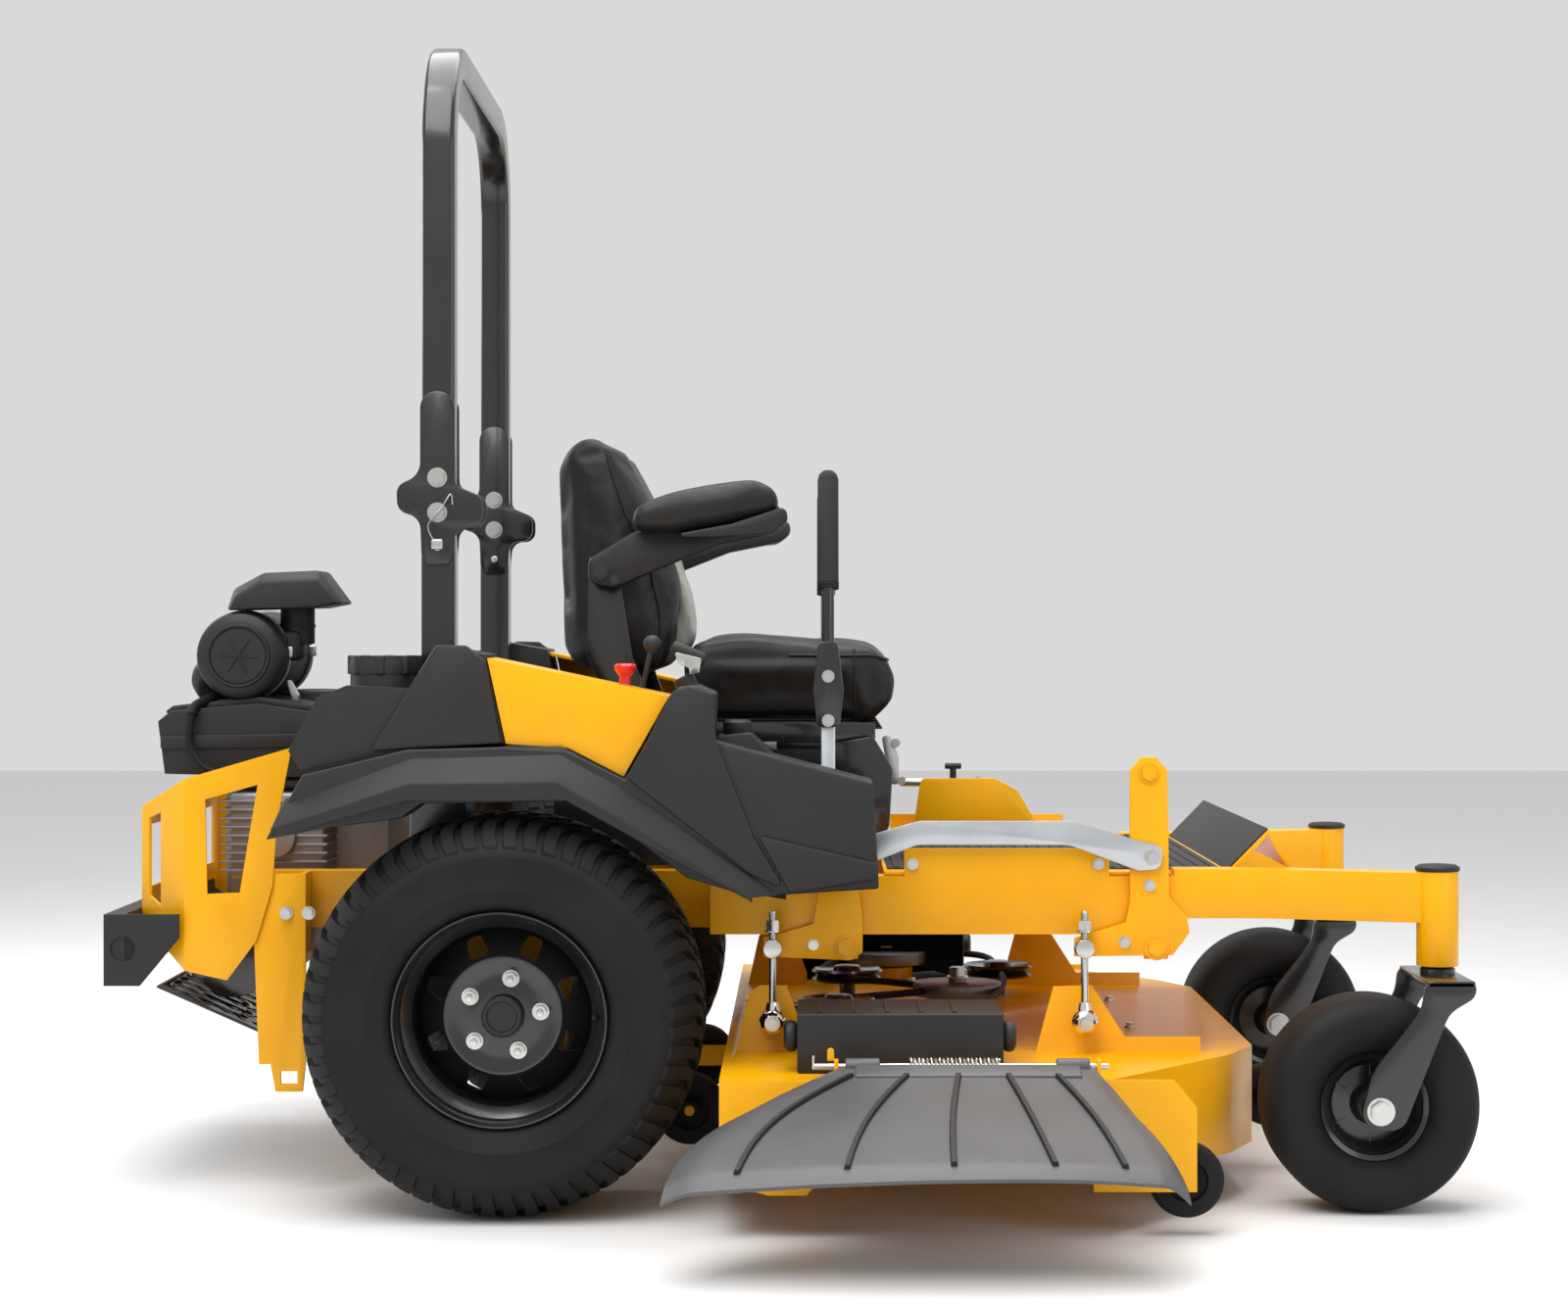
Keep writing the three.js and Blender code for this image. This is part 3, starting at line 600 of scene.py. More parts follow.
def plate(points, low, high, edge=0.001, plane="XZ", holes=()):
    """A flat piece: an outline of rounded corners, given its thickness across the plane."""
    bm = bmesh.new()
    spots = {"XZ": lambda p, d: (p.x, d, p.y), "XY": lambda p, d: (p.x, p.y, d),
             "YZ": lambda p, d: (d, p.x, p.y)}[plane]
    loops = [rounded(points)] + [rounded(hole) for hole in holes]
    edges = []
    for loop in loops:
        verts = [bm.verts.new(spots(p, low)) for p in loop]
        edges += [bm.edges.new((verts[i], verts[(i + 1) % len(verts)])) for i in range(len(verts))]
    bmesh.ops.triangle_fill(bm, use_beauty=True, edges=edges)
    bmesh.ops.dissolve_limit(bm, angle_limit=0.01, verts=bm.verts, edges=bm.edges)
    made = bmesh.ops.extrude_face_region(bm, geom=bm.faces[:])
    shift = Vector(spots(Vector((0, 0)), high - low))
    bmesh.ops.translate(bm, vec=shift, verts=[v for v in made["geom"] if isinstance(v, bmesh.types.BMVert)])
    bmesh.ops.recalc_face_normals(bm, faces=bm.faces)
    if edge:
        rims = [e for e in bm.edges if len(e.link_faces) == 2 and e.calc_face_angle(0) > 1.2]
        bmesh.ops.bevel(bm, geom=rims, offset=edge, segments=2, profile=0.5, affect="EDGES",
                        clamp_overlap=True)
    return bm


# ---------------------------------------------------------------- wheels


def carcass(y):
    """Outer radius of the drive tyre under its lugs, at a distance from its middle plane."""
    side = abs(y)
    if side < 0.07:
        return 0.2945 - 0.6 * side * side
    drop = (side - 0.07) / 0.079
    return 0.2916 - 0.036 * drop ** 2.6


def tread_lug(path, width, depth):
    """One lug: a strip of rubber standing on the carcass along [y, degrees] points."""
    bm = bmesh.new()
    rows = []
    for i, (y, degrees) in enumerate(path):
        radius = carcass(y)
        fade = depth * (1 if abs(y) < 0.125 else 0.62)
        half = width / 2 / radius
        turn = math.radians(degrees)
        row = []
        for lift, side in ((-0.002, -1), (fade, -0.86), (fade, 0.86), (-0.002, 1)):
            spin = turn + side * half
            r = radius + lift
            row.append(bm.verts.new((r * math.sin(spin), y, r * math.cos(spin))))
        rows.append(row)
    for near, far in zip(rows, rows[1:]):
        for i in range(4):
            j = (i + 1) % 4
            bm.faces.new((near[i], far[i], far[j], near[j]))
    bm.faces.new(rows[0])
    bm.faces.new(rows[-1][::-1])
    bmesh.ops.recalc_face_normals(bm, faces=bm.faces)
    return bm


def drive_tyre(side):
    trim = bpy.context.scene.mower_trim
    centre = pivot("rear_wheel_spin_" + side)
    half = (highest("rear_tyre_" + side).y - lowest("rear_tyre_" + side).y) / 2
    crown = [(carcass(y), y) for y in [i * 0.149 / 12 for i in range(-12, 13)]]
    wall = [(0.246, half), (0.243, half + 0.0008), (0.238, half), (0.224, half - 0.0005),
            (0.2, half - 0.0045), (0.197, half - 0.0035), (0.193, half - 0.0055),
            (0.176, half - 0.012), (0.169, half - 0.016), (0.166, half - 0.024), (0.161, half - 0.03),
            (0.153, half - 0.034)]
    inner = [(0.176, 0.108), (0.232, 0.138), (0.284, 0.1), (0.287, 0.0)]
    outer = crown + wall
    hollow = inner + [(r, -y) for r, y in inner[-2::-1]]
    mirror_wall = [(r, -y) for r, y in wall[::-1]]
    shell = lathe(outer + hollow + mirror_wall, Vector(), segments=144)
    pitch = 360 / trim.tread_pitches
    lugs = []
    for flip, lead in ((1, 0.0), (-1, pitch / 2)):
        lugs.append(tread_lug([(flip * y, lead + lead_turn) for y, lead_turn in (
            (0.05, 4.6), (0.068, 3.6), (0.088, 1.6), (0.108, 0.3), (0.126, 0.0), (0.14, 0.3),
            (0.149, 0.8))], 0.021, trim.tread_depth))
        lugs.append(tread_lug([(flip * y, lead + lead_turn) for y, lead_turn in (
            (0.008, 9.2), (0.022, 8.2), (0.037, 7.4), (0.047, 7.2))], 0.019, trim.tread_depth))
    whole = object_from("shell_" + side, shell, "tyre_rubber", 40)
    whole.data.transform(Matrix.Translation(centre))
    treads = ringed("lugs_" + side, lugs, trim.tread_pitches, centre, "tyre_rubber", 30)
    place(whole, "rear_wheel_" + side, "tyre_rubber", "rear_tyre_" + side)
    whole.name = "drive_tyre_" + side
    place(treads, "rear_wheel_" + side, "tyre_rubber")
    treads.name = "turf_lugs_" + side


def drive_rim(side, out):
    """The pressed steel wheel: barrel, dished disc with eight windows, cap and lug nuts."""
    trim = bpy.context.scene.mower_trim
    centre = pivot("rear_wheel_spin_" + side)
    body = "rear_wheel_" + side
    barrel = [(0.1615, 0.129), (0.1605, 0.131), (0.158, 0.131), (0.1555, 0.127), (0.154, 0.12),
              (0.1535, 0.098), (0.146, 0.09), (0.138, 0.08), (0.136, 0.04), (0.137, -0.03),
              (0.146, -0.045), (0.1535, -0.06), (0.154, -0.12), (0.158, -0.131), (0.1615, -0.129),
              (0.1585, -0.119), (0.1505, -0.117), (0.1505, -0.064), (0.143, -0.048),
              (0.1335, -0.032), (0.1325, 0.042), (0.135, 0.084), (0.143, 0.093), (0.1505, 0.1),
              (0.1515, 0.118), (0.1565, 0.124)]
    ring = lathe([(r, out * y) for r, y in barrel], centre, segments=128)
    disc = [(0.031, 0.07), (0.046, 0.0705), (0.05, 0.069), (0.075, 0.069), (0.083, 0.0725),
            (0.089, 0.072), (0.1, 0.063), (0.116, 0.048), (0.128, 0.038), (0.1345, 0.03),
            (0.1345, 0.024), (0.127, 0.0335), (0.114, 0.0435), (0.098, 0.0585), (0.088, 0.0675),
            (0.083, 0.068), (0.075, 0.0645), (0.05, 0.0645), (0.046, 0.066), (0.031, 0.0655)]
    face = object_from("disc", lathe([(r, out * y) for r, y in disc], centre, segments=128),
                       "black_paint")
    windows = []
    for step in range(8):
        turn = math.pi / 8 + step * math.pi / 4
        window = plate([(-0.017, 0.094, 0.006), (0.017, 0.094, 0.006), (0.011, 0.124, 0.007),
                        (-0.011, 0.124, 0.007)], -0.02, 0.12, edge=0)
        if out < 0:
            window.transform(Matrix.Scale(-1, 4, (0, 1, 0)))
        window.transform(Matrix.Translation(centre) @ Matrix.Rotation(turn, 4, "Y"))
        windows.append(window)
    cutter = joined("cutter", "black_paint", windows)
    cut = face.modifiers.new("Windows", "BOOLEAN")
    cut.operation = "DIFFERENCE"
    cut.object = cutter
    cut.solver = "EXACT"
    baked(face)
    bpy.data.objects.remove(cutter)
    pressed = bmesh.new()
    pressed.from_mesh(face.data)
    bpy.data.objects.remove(face)
    rim = joined("steel_rim_" + side, "black_paint", [ring, pressed], 30)
    place(rim, body, "black_paint", "rear_rim_" + side)
    lip = lathe([(0.024, out * 0.062), (0.03, out * 0.066), (0.031, out * 0.088), (0.028, out * 0.0905),
                 (0.0235, out * 0.0905), (0.022, out * 0.087), (0, out * 0.0855), (0, out * 0.062)],
                centre, segments=48)
    place(joined("hub_cap_" + side, "black_plastic", [lip]), body, "black_plastic")
    nut = hex_head((0, out * 0.069, 0.05715), (0, out, 0), 0.0185, 0.014)
    stud = rod((0, out * 0.069, 0.05715), (0, out * 0.0905, 0.05715), 0.0055, 16, 0.001)
    nuts = ringed("lug_nuts_" + side, [nut, stud], trim.lug_nuts, centre, "bright_bolt", 25)
    nuts.data.transform(Matrix.Translation(centre) @ Matrix.Rotation(math.radians(12), 4, "Y")
                        @ Matrix.Translation(-centre))
    place(nuts, body, "zinc_plate")
    valve = [rod((0.142, out * 0.06, 0), (0.139, out * 0.1, 0.0), 0.0042, 14, 0.001)]
    valve[0].transform(Matrix.Translation(centre))
    place(joined("valve_" + side, "tyre_rubber", valve), body, "tyre_rubber")


def caster(side, out):
    """A swivelling front wheel: smooth tyre, dished rim, axle bolt and its fork."""
    centre = pivot("caster_spin_" + side)
    swivel = pivot("caster_swivel_" + side)
    wheel, fork = "caster_wheel_" + side, "fork_" + side
    tyre = [(0.0845, -0.063), (0.09, -0.07), (0.104, -0.0775), (0.121, -0.082), (0.136, -0.0815),
            (0.149, -0.0755), (0.158, -0.063), (0.1625, -0.042), (0.163, -0.02), (0.163, 0.02),
            (0.1625, 0.042), (0.158, 0.063), (0.149, 0.0755), (0.136, 0.0815), (0.121, 0.082),
            (0.104, 0.0775), (0.09, 0.07), (0.0845, 0.063), (0.079, 0.056), (0.079, -0.056)]
    rubber = object_from("caster_smooth_tyre_" + side, lathe(tyre, centre, segments=128),
                         "tyre_rubber", 45)
    place(rubber, wheel, "tyre_rubber", "caster_tyre_" + side)
    rim = [(0.013, -0.088), (0.023, -0.088), (0.025, -0.085), (0.025, -0.032), (0.032, -0.024),
           (0.058, -0.02), (0.066, -0.027), (0.069, -0.052), (0.074, -0.06), (0.0815, -0.063),
           (0.0825, -0.061), (0.0785, -0.056), (0.0785, 0.056), (0.0825, 0.061), (0.0815, 0.063),
           (0.074, 0.06), (0.069, 0.052), (0.066, 0.027), (0.058, 0.02), (0.032, 0.024),
           (0.025, 0.032), (0.025, 0.085), (0.023, 0.088), (0.013, 0.088)]
    hub = object_from("caster_dished_rim_" + side, lathe(rim, centre, segments=96), "black_paint", 30)
    place(hub, wheel, "black_paint", "caster_rim_" + side)
    ribs = [brick(centre + Vector((-0.0015, out * 0.021 - 0.0015, 0.03)),
                  centre + Vector((0.0015, out * 0.021 + 0.0045, 0.064)), 0.0008)]
    ribs[0].transform(Matrix.Translation(-centre))
    spokes = ringed("caster_rim_ribs_" + side, ribs, 6, centre, "black_paint")
    place(spokes, wheel, "black_paint")

    low, high = lowest("caster_fork_" + side), highest("caster_fork_" + side)
    half = (high.y - low.y) / 2 - 0.008
    pieces = []
    for edge_side in (-1, 1):
        inner = centre.y + edge_side * (half - 0.009)
        leg = plate([(swivel.x - 0.04, 0.357, 0.016), (swivel.x + 0.036, 0.357, 0.012),
                     (swivel.x + 0.036, 0.334, 0.03), (swivel.x - 0.004, 0.31, 0.04),
                     (centre.x + 0.033, centre.z - 0.03, 0.028),
                     (centre.x - 0.034, centre.z - 0.026, 0.03),
                     (centre.x - 0.012, centre.z + 0.06, 0.1), (swivel.x - 0.045, 0.315, 0.05)],
                    inner, inner + edge_side * 0.009, 0.0012)
        pieces.append(leg)
    pieces.append(brick((swivel.x - 0.037, centre.y - half, 0.347),
                        (swivel.x + 0.035, centre.y + half, 0.3575), 0.003))
    pieces.append(lathe([(0, 0), (0.027, 0), (0.027, 0.008), (0.0205, 0.013), (0, 0.013)],
                        Vector((swivel.x, swivel.y, 0.3575)), "Z", 40))
    pieces.append(rod((swivel.x, swivel.y, 0.35), (swivel.x, swivel.y, high.z), 0.0195, 32, 0.002))
    pieces.append(rod((centre.x, centre.y - half - 0.002, centre.z),
                      (centre.x, centre.y + half + 0.002, centre.z), 0.0115, 24, 0.001))
    place(joined("caster_bent_fork_" + side, "black_paint", pieces, 30), fork, "black_paint",
          "caster_fork_" + side)
    bolts = [hex_head(centre + Vector((0, s * half, 0)), (0, s, 0), 0.030, 0.011) for s in (-1, 1)]
    place(joined("caster_axle_bolt_" + side, "bright_bolt", bolts, 25), fork, "zinc_plate")
    cap = lathe([(0, 0), (0.033, 0), (0.034, 0.002), (0.034, 0.006), (0.028, 0.0095), (0.01, 0.011),
                 (0, 0.011)], Vector((swivel.x, swivel.y, 0.5145)), "Z", 48)
    place(joined("caster_tube_cap_" + side, "black_plastic", [cap]), "chassis", "black_plastic")


# ---------------------------------------------------------------- places

AXLE_SETBACK = 467  # mm from the drive axle forward to the datum of the millimetre dimensions below
DATUM = Vector((pivot("rear_wheel_spin_R").x + AXLE_SETBACK / 1000,
                (pivot("rear_wheel_spin_R").y + pivot("rear_wheel_spin_L").y) / 2, 0))


def at(x, y, z):
    """A place in metres, from millimetres forward of the datum, left of the middle and above ground."""
    return DATUM + Vector((x, y, z)) / 1000


def outline_at(points):
    """An upright plate's outline in metres, from [x, z, corner radius] in millimetres."""
    return [(DATUM.x + p[0] / 1000, p[1] / 1000, (p[2] if len(p) > 2 else 0) / 1000) for p in points]


def side_plate(points, low, high, edge=0.001, holes=()):
    """An upright plate between two distances left of the middle, in millimetres."""
    return plate(outline_at(points), DATUM.y + low / 1000, DATUM.y + high / 1000, edge,
                 holes=[outline_at(hole) for hole in holes])


def bolt_out(x, y, z, out, across=16, height=8):
    """A bolt head on an upright face, facing sideways."""
    return hex_head(at(x, y, z), (0, out, 0), across / 1000, height / 1000)


# ---------------------------------------------------------------- seat


def puffed(piece, cap, held=None):
    """Fills a cushion with air as cloth, no point moving further than the cap."""
    voxel = piece.modifiers.new("Voxels", "REMESH")
    voxel.mode = "VOXEL"
    voxel.voxel_size = 0.0065
    baked(piece)
    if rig.quick():
        return
    start = [v.co.copy() for v in piece.data.vertices]
    if held:
        pins = piece.vertex_groups.new(name="pins")
        for vertex in piece.data.vertices:
            weight = held(vertex.co)
            if weight > 0:
                pins.add([vertex.index], weight, "REPLACE")
    cloth = piece.modifiers.new("Air", "CLOTH")
    cloth.settings.use_pressure = True
    cloth.settings.uniform_pressure_force = 4
    cloth.settings.effector_weights.gravity = 0
    cloth.settings.quality = 5
    if held:
        cloth.settings.vertex_group_mass = "pins"
    scene = bpy.context.scene
    for step in range(1, 21):
        scene.frame_set(step)
    baked(piece)
    scene.frame_set(1)
    for vertex, old in zip(piece.data.vertices, start):
        move = vertex.co - old
        if move.length > cap:
            vertex.co = old + move.normalized() * cap


def cushion(name, bm, body, slot, nodes, cap, held=None, fill=0.8):
    """A padded piece from a closed shape that is a little smaller than the finished one."""
    piece = object_from(name, bm, slot, 180)
    puffed(piece, cap, held)
    even = piece.modifiers.new("Even", "SMOOTH")
    even.iterations = 4
    finer = piece.modifiers.new("Finer", "SUBSURF")
    finer.levels = finer.render_levels = 1
    baked(piece)
    for face in piece.data.polygons:
        face.use_smooth = True
    piece.data.materials.clear()
    piece.data.materials.append(finish_of(slot))
    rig.padded(piece, fill)
    return place(piece, body, "seat_vinyl", *nodes)


def near_line(co, points, width):
    """1 on a line through the points, falling to 0 at the width."""
    best = width
    for start, end in zip(points, points[1:]):
        span = end - start
        share = max(0.0, min(1.0, (co - start).dot(span) / span.length_squared))
        best = min(best, (co - (start + span * share)).length)
    return 1 - best / width


def piping(name, points, radius, body, slot="seat_vinyl"):
    """A sewn cord edge along a seam."""
    return place(joined(name, slot, [swept(points, radius, 8)], 60), body, "seat_vinyl")


def on_surface(piece, points, lift=0.0012):
    """The points moved onto a piece's surface, just proud of it."""
    spots = []
    for point in points:
        found, spot, normal, _ = piece.closest_point_on_mesh(point)
        spots.append(spot + normal * lift if found else point)
    return spots


def smoothed(points, steps=6):
    """Points on a Catmull-Rom curve through the given ones."""
    points = [Vector(p) for p in points]
    line = []
    for i in range(len(points) - 1):
        before, start = points[max(0, i - 1)], points[i]
        end, after = points[i + 1], points[min(len(points) - 1, i + 2)]
        for step in range(steps):
            t = step / steps
            line.append(0.5 * (2 * start + (end - before) * t
                               + (2 * before - 5 * start + 4 * end - after) * t * t
                               + (3 * start - before - 3 * end + after) * t ** 3))
    line.append(points[-1])
    return line


def armrest(side, out):
    body = "armrest_" + side
    strap = side_plate([(-362, 958, 16), (-362, 996, 16), (-290, 1040, 30), (-133, 1062, 20),
                        (-44, 1078, 14), (-42, 1052, 14), (-60, 1038, 20), (-150, 1020, 30),
                        (-226, 990, 30), (-320, 950, 18)], *sorted((out * 252, out * 282)), edge=0.006)
    under = side_plate([(-250, 1030, 16), (-130, 1052, 20), (-44, 1080, 12), (-40, 1056, 16),
                        (-66, 1036, 20), (-160, 1030, 20)], *sorted((out * 270, out * 334)), edge=0.006)
    place(joined("armrest_strap_" + side, "black_plastic", [strap, under], 40), body, "seat_vinyl",
          "armrest_" + side)
    pad = side_plate([(-292, 1040, 20), (-286, 1080, 22), (-219, 1104, 60), (-94, 1124, 30),
                      (-62, 1108, 24), (-50, 1074, 20), (-141, 1052, 40), (-219, 1038, 30)],
                     *sorted((out * 270, out * 330)), edge=0.014)
    cushion("armrest_pad_" + side, pad, body, "seat_vinyl", (), 0.005)
    bolts = [bolt_out(-341, out * 282, 977, out, 19, 8), bolt_out(-318, out * 282, 964, out, 12, 5)]
    place(joined("armrest_bolt_" + side, "black_paint", bolts, 25), body, "black_paint")


class MOWER_OT_seat(bpy.types.Operator):
    """Builds the seat's padded cushion, backrest and armrests"""

    bl_idname = "mower.seat"
    bl_label = "Seat"

    def execute(self, context):
        half = 250
        seam = 842
        base = side_plate([(-210, 740, 30), (-210, 862, 40), (-110, 874, 200), (10, 862, 200), (92, 858, 40),
                           (136, 820, 40), (136, 768, 30), (104, 740, 20)], -half, half, edge=0.026)
        ring = [at(x, y, seam) for x, y in ((-210, 250), (-40, 250), (90, 248), (132, 210), (138, 0),
                                            (132, -210), (90, -248), (-40, -250), (-210, -250))]
        groove = [[at(-190, side * 150, 862), at(60, side * 150, 858)] for side in (-1, 1)]
        across = [[at(-30, -150, 866), at(-30, 150, 866)]]

        def held(co):
            lines = [ring] + groove + across
            return max([0.0] + [near_line(co, line, 0.012) for line in lines])

        bands = [[at(x, side * 250, z) for x, z in ((66, 742), (66, 856))] for side in (-1, 1)]
        pad = cushion("seat_pad", base, "seat", "seat_vinyl", ("seat_cushion",), 0.012, held)
        piping("seat_pad_piping", on_surface(pad, smoothed(ring[1:-1], 10)), 0.0026, "seat")
        for side, band in zip("LR", bands[::-1]):
            piping("seat_band_piping_" + side, on_surface(pad, smoothed(band, 14)), 0.0018, "seat")
        shell = side_plate([(-394, 816, 20), (-402, 1000, 80), (-406, 1180, 40), (-362, 1210, 40),
                            (-326, 1178, 50), (-276, 1084, 120), (-232, 968, 90), (-222, 884, 60),
                            (-240, 816, 20)], -224, 224, edge=0.022)
        side_seams = [[at(x + 14, side * 214, z) for x, z in (
            (-268, 826), (-268, 900), (-290, 1000), (-330, 1090), (-352, 1176))] for side in (-1, 1)]

        def tucked(co):
            return max([0.0] + [near_line(co, line, 0.012) for line in side_seams])

        rest = cushion("backrest", shell, "seat", "seat_vinyl", ("seat_back",), 0.012, tucked)
        for side, line in zip("RL", side_seams):
            piping("backrest_piping_" + side, on_surface(rest, smoothed(line, 8)), 0.0026, "seat")
        front = side_plate([(-262, 842, 16), (-272, 1000, 80), (-330, 1128, 20), (-318, 1136, 12),
                            (-262, 1072, 90), (-214, 960, 90), (-202, 900, 60), (-208, 842, 16)],
                           -146, 146, edge=0.012)
        channels = [[at(x, y, z) for y in (-150, 150)] for x, z in ((-206, 900), (-222, 972), (-258, 1052))]

        def sewn(co):
            return max([0.0] + [near_line(co, line, 0.010) for line in channels])

        cushion("backrest_insert", front, "seat", "seat_insert", (), 0.009, sewn)
        for side, out in (("R", -1), ("L", 1)):
            armrest(side, out)
        risers = [brick(at(-300, -215, 704), at(96, 215, 712), 0.002)]
        for step in range(5):
            z = 722 + step * 4.6
            risers.append(brick(at(-250 + step * 3, -222 + step * 2, z),
                                at(112 - step * 3, 222 - step * 2, z + 3.6), 0.0015))
        place(joined("seat_pan", "black_plastic", risers, 30), "seat", "black_plastic")
        return {"FINISHED"}


# ---------------------------------------------------------------- operators


class MOWER_OT_bodywork(bpy.types.Operator):
    """Eases the edges of the CAD pieces that keep their shape, and gives the rest a finish"""

    bl_idname = "mower.bodywork"
    bl_label = "Bodywork"

    def execute(self, context):
        trim = context.scene.mower_trim
        for name in ("main_frame", "foot_platform", "engine_guard", "deck_shell",
                     "front_lift_crank", "rear_lift_crank", "seat_base"):
            softened(name, trim.sheet_edge, 2)
        for name in ("rear_bumper", "side_panel_R", "side_panel_L"):
            softened(name, 0.003)
        for name in ("fender_console_R", "fender_console_L"):
            softened(name, trim.moulded_edge, 4)
        for name in ("fuel_tank_R", "fuel_tank_L"):
            softened(name, 0.009, 4)
        for name, node in frame["nodes"].items():
            for slot in node.material_slots:
                slot.material = finish_of(SLOT_OF[name])
        return {"FINISHED"}


class MOWER_OT_drive_wheels(bpy.types.Operator):
    """Builds the two drive wheels with turf tyres"""

    bl_idname = "mower.drive_wheels"
    bl_label = "Drive wheels"

    def execute(self, context):
        for side, out in (("R", -1), ("L", 1)):
            drive_tyre(side)
            drive_rim(side, out)
        return {"FINISHED"}


class MOWER_OT_casters(bpy.types.Operator):
    """Builds the two front casters with their forks"""

    bl_idname = "mower.casters"
    bl_label = "Casters"

    def execute(self, context):
        for side, out in (("R", -1), ("L", 1)):
            caster(side, out)
        return {"FINISHED"}


# ---------------------------------------------------------------- bodywork detail


def loft(rings):
    """A closed solid through rings of the same number of points."""
    bm = bmesh.new()
    rows = [[bm.verts.new(p) for p in ring] for ring in rings]
    count = len(rows[0])
    for near, far in zip(rows, rows[1:]):
        for i in range(count):
            j = (i + 1) % count
            bm.faces.new((near[i], far[i], far[j], near[j]))
    bm.faces.new(rows[0])
    bm.faces.new(rows[-1][::-1])
    bmesh.ops.recalc_face_normals(bm, faces=bm.faces)
    return bm


def eased(bm, width, least=0.5, segments=3):
    """Rounds every edge that turns by more than the least angle."""
    edges = [e for e in bm.edges if len(e.link_faces) == 2 and e.calc_face_angle(0) > least]
    bmesh.ops.bevel(bm, geom=edges, offset=width, segments=segments, profile=0.5, affect="EDGES",
                    clamp_overlap=True)
    return bm


FLARE = (  # forward, then the heights of the flare's top, brow and lower lip
    ((-790, 632), (-806, 588), (-806, 574)), ((-598, 704), (-601, 655), (-604, 629)),
    ((-377, 711), (-380, 657), (-368, 630)), ((-279, 659), (-286, 603), (-229, 553)),
    ((-39, 491), (-96, 488), (-93, 480)))


def fender_flare(out):
    rings = []
    for top, brow, lip in FLARE:
        rings.append([at(top[0], out * 604, top[1] - 14), at(top[0], out * 622, top[1]),
                      at(brow[0], out * 654, brow[1]), at(lip[0], out * 654, lip[1]),
                      at(lip[0], out * 604, lip[1] + 8)])
    return eased(loft(rings), 0.004)


def fender_facets(out):
    """The moulded faces that stand proud of the console and of the tank."""
    depth = sorted((out * 618, out * 636))
    pillar = side_plate([(-277, 662, 4), (-210, 792, 14), (-186, 800, 10), (-149, 788, 10),
                         (-146, 722, 6), (-88, 574, 20), (-40, 494, 6), (-96, 520, 6)], *depth, 0.005)
    bin_wall = side_plate([(-143, 716, 6), (86, 655, 10), (97, 512, 16), (-32, 490, 8), (-84, 572, 20)],
                          *sorted((out * 618, out * 631)), 0.005)
    step = side_plate([(-84, 578, 4), (97, 536, 6), (97, 512, 14), (-34, 490, 6)],
                      *sorted((out * 626, out * 637)), 0.004)
    buttress = side_plate([(-564, 861, 8), (-520, 860, 8), (-490, 838, 6), (-466, 713, 5),
                           (-664, 702, 5)], *sorted((out * 600, out * 622)), 0.006)
    return [pillar, bin_wall, step, buttress]


def fuel_cap(out):
    centre = at(-652, out * 530, 0)
    neck = [(0, 0.775), (0.05, 0.775), (0.05, 0.786), (0.045, 0.79), (0.045, 0.815), (0, 0.815)]
    cap = [(0, 0.812), (0.049, 0.812), (0.0535, 0.816), (0.055, 0.826), (0.053, 0.837), (0.046, 0.843),
           (0.02, 0.8435), (0.018, 0.8425), (0, 0.8425)]
    grips = []
    for step in range(8):
        turn = step * math.pi / 4
        spot = centre + Vector((0.049 * math.cos(turn), 0.049 * math.sin(turn), 0))
        grips.append(rod(spot + Vector((0, 0, 0.816)), spot + Vector((0, 0, 0.8445)), 0.0085, 16, 0.002))
    return [lathe(neck, centre, "Z", 64), lathe(cap, centre, "Z", 64)] + grips


class MOWER_OT_fenders(bpy.types.Operator):
    """Adds the fender flares, moulded faces, fuel caps and small tank"""

    bl_idname = "mower.fenders"
    bl_label = "Fenders"

    def execute(self, context):
        for side, out in (("R", -1), ("L", 1)):
            for name, bms in (("fender_flare_", [fender_flare(out)]),
                              ("fender_faces_", fender_facets(out)),
                              ("fuel_cap_", fuel_cap(out))):
                place(joined(name + side, "black_plastic", bms, 30), "chassis", "black_plastic")
        tank = side_plate([(-150, 648, 10), (-150, 722, 10), (-96, 728, 14), (-30, 664, 10), (-30, 648, 4)],
                          -560, -470, 0.006)
        cap = lathe([(0, 0.722), (0.02, 0.722), (0.022, 0.726), (0.022, 0.742), (0.018, 0.746), (0, 0.746)],
                    at(-116, -515, 0), "Z", 32)
        place(joined("oil_reservoir", "black_plastic", [tank, cap], 30), "chassis", "black_plastic")
        return {"FINISHED"}


# ---------------------------------------------------------------- roll bar


def tube_ring(centre, across, up, half, corner):
    """A ring of the square tube's section; across and up are its two directions."""
    ring = []
    for quarter in range(4):
        sign_a, sign_b = ((1, 1), (-1, 1), (-1, -1), (1, -1))[quarter]
        middle_point = centre + across * sign_a * (half - corner) + up * sign_b * (half - corner)
        for step in range(4):
            turn = math.pi / 2 * (quarter + step / 3)
            ring.append(middle_point + across * corner * math.cos(turn) + up * corner * math.sin(turn))
    return ring


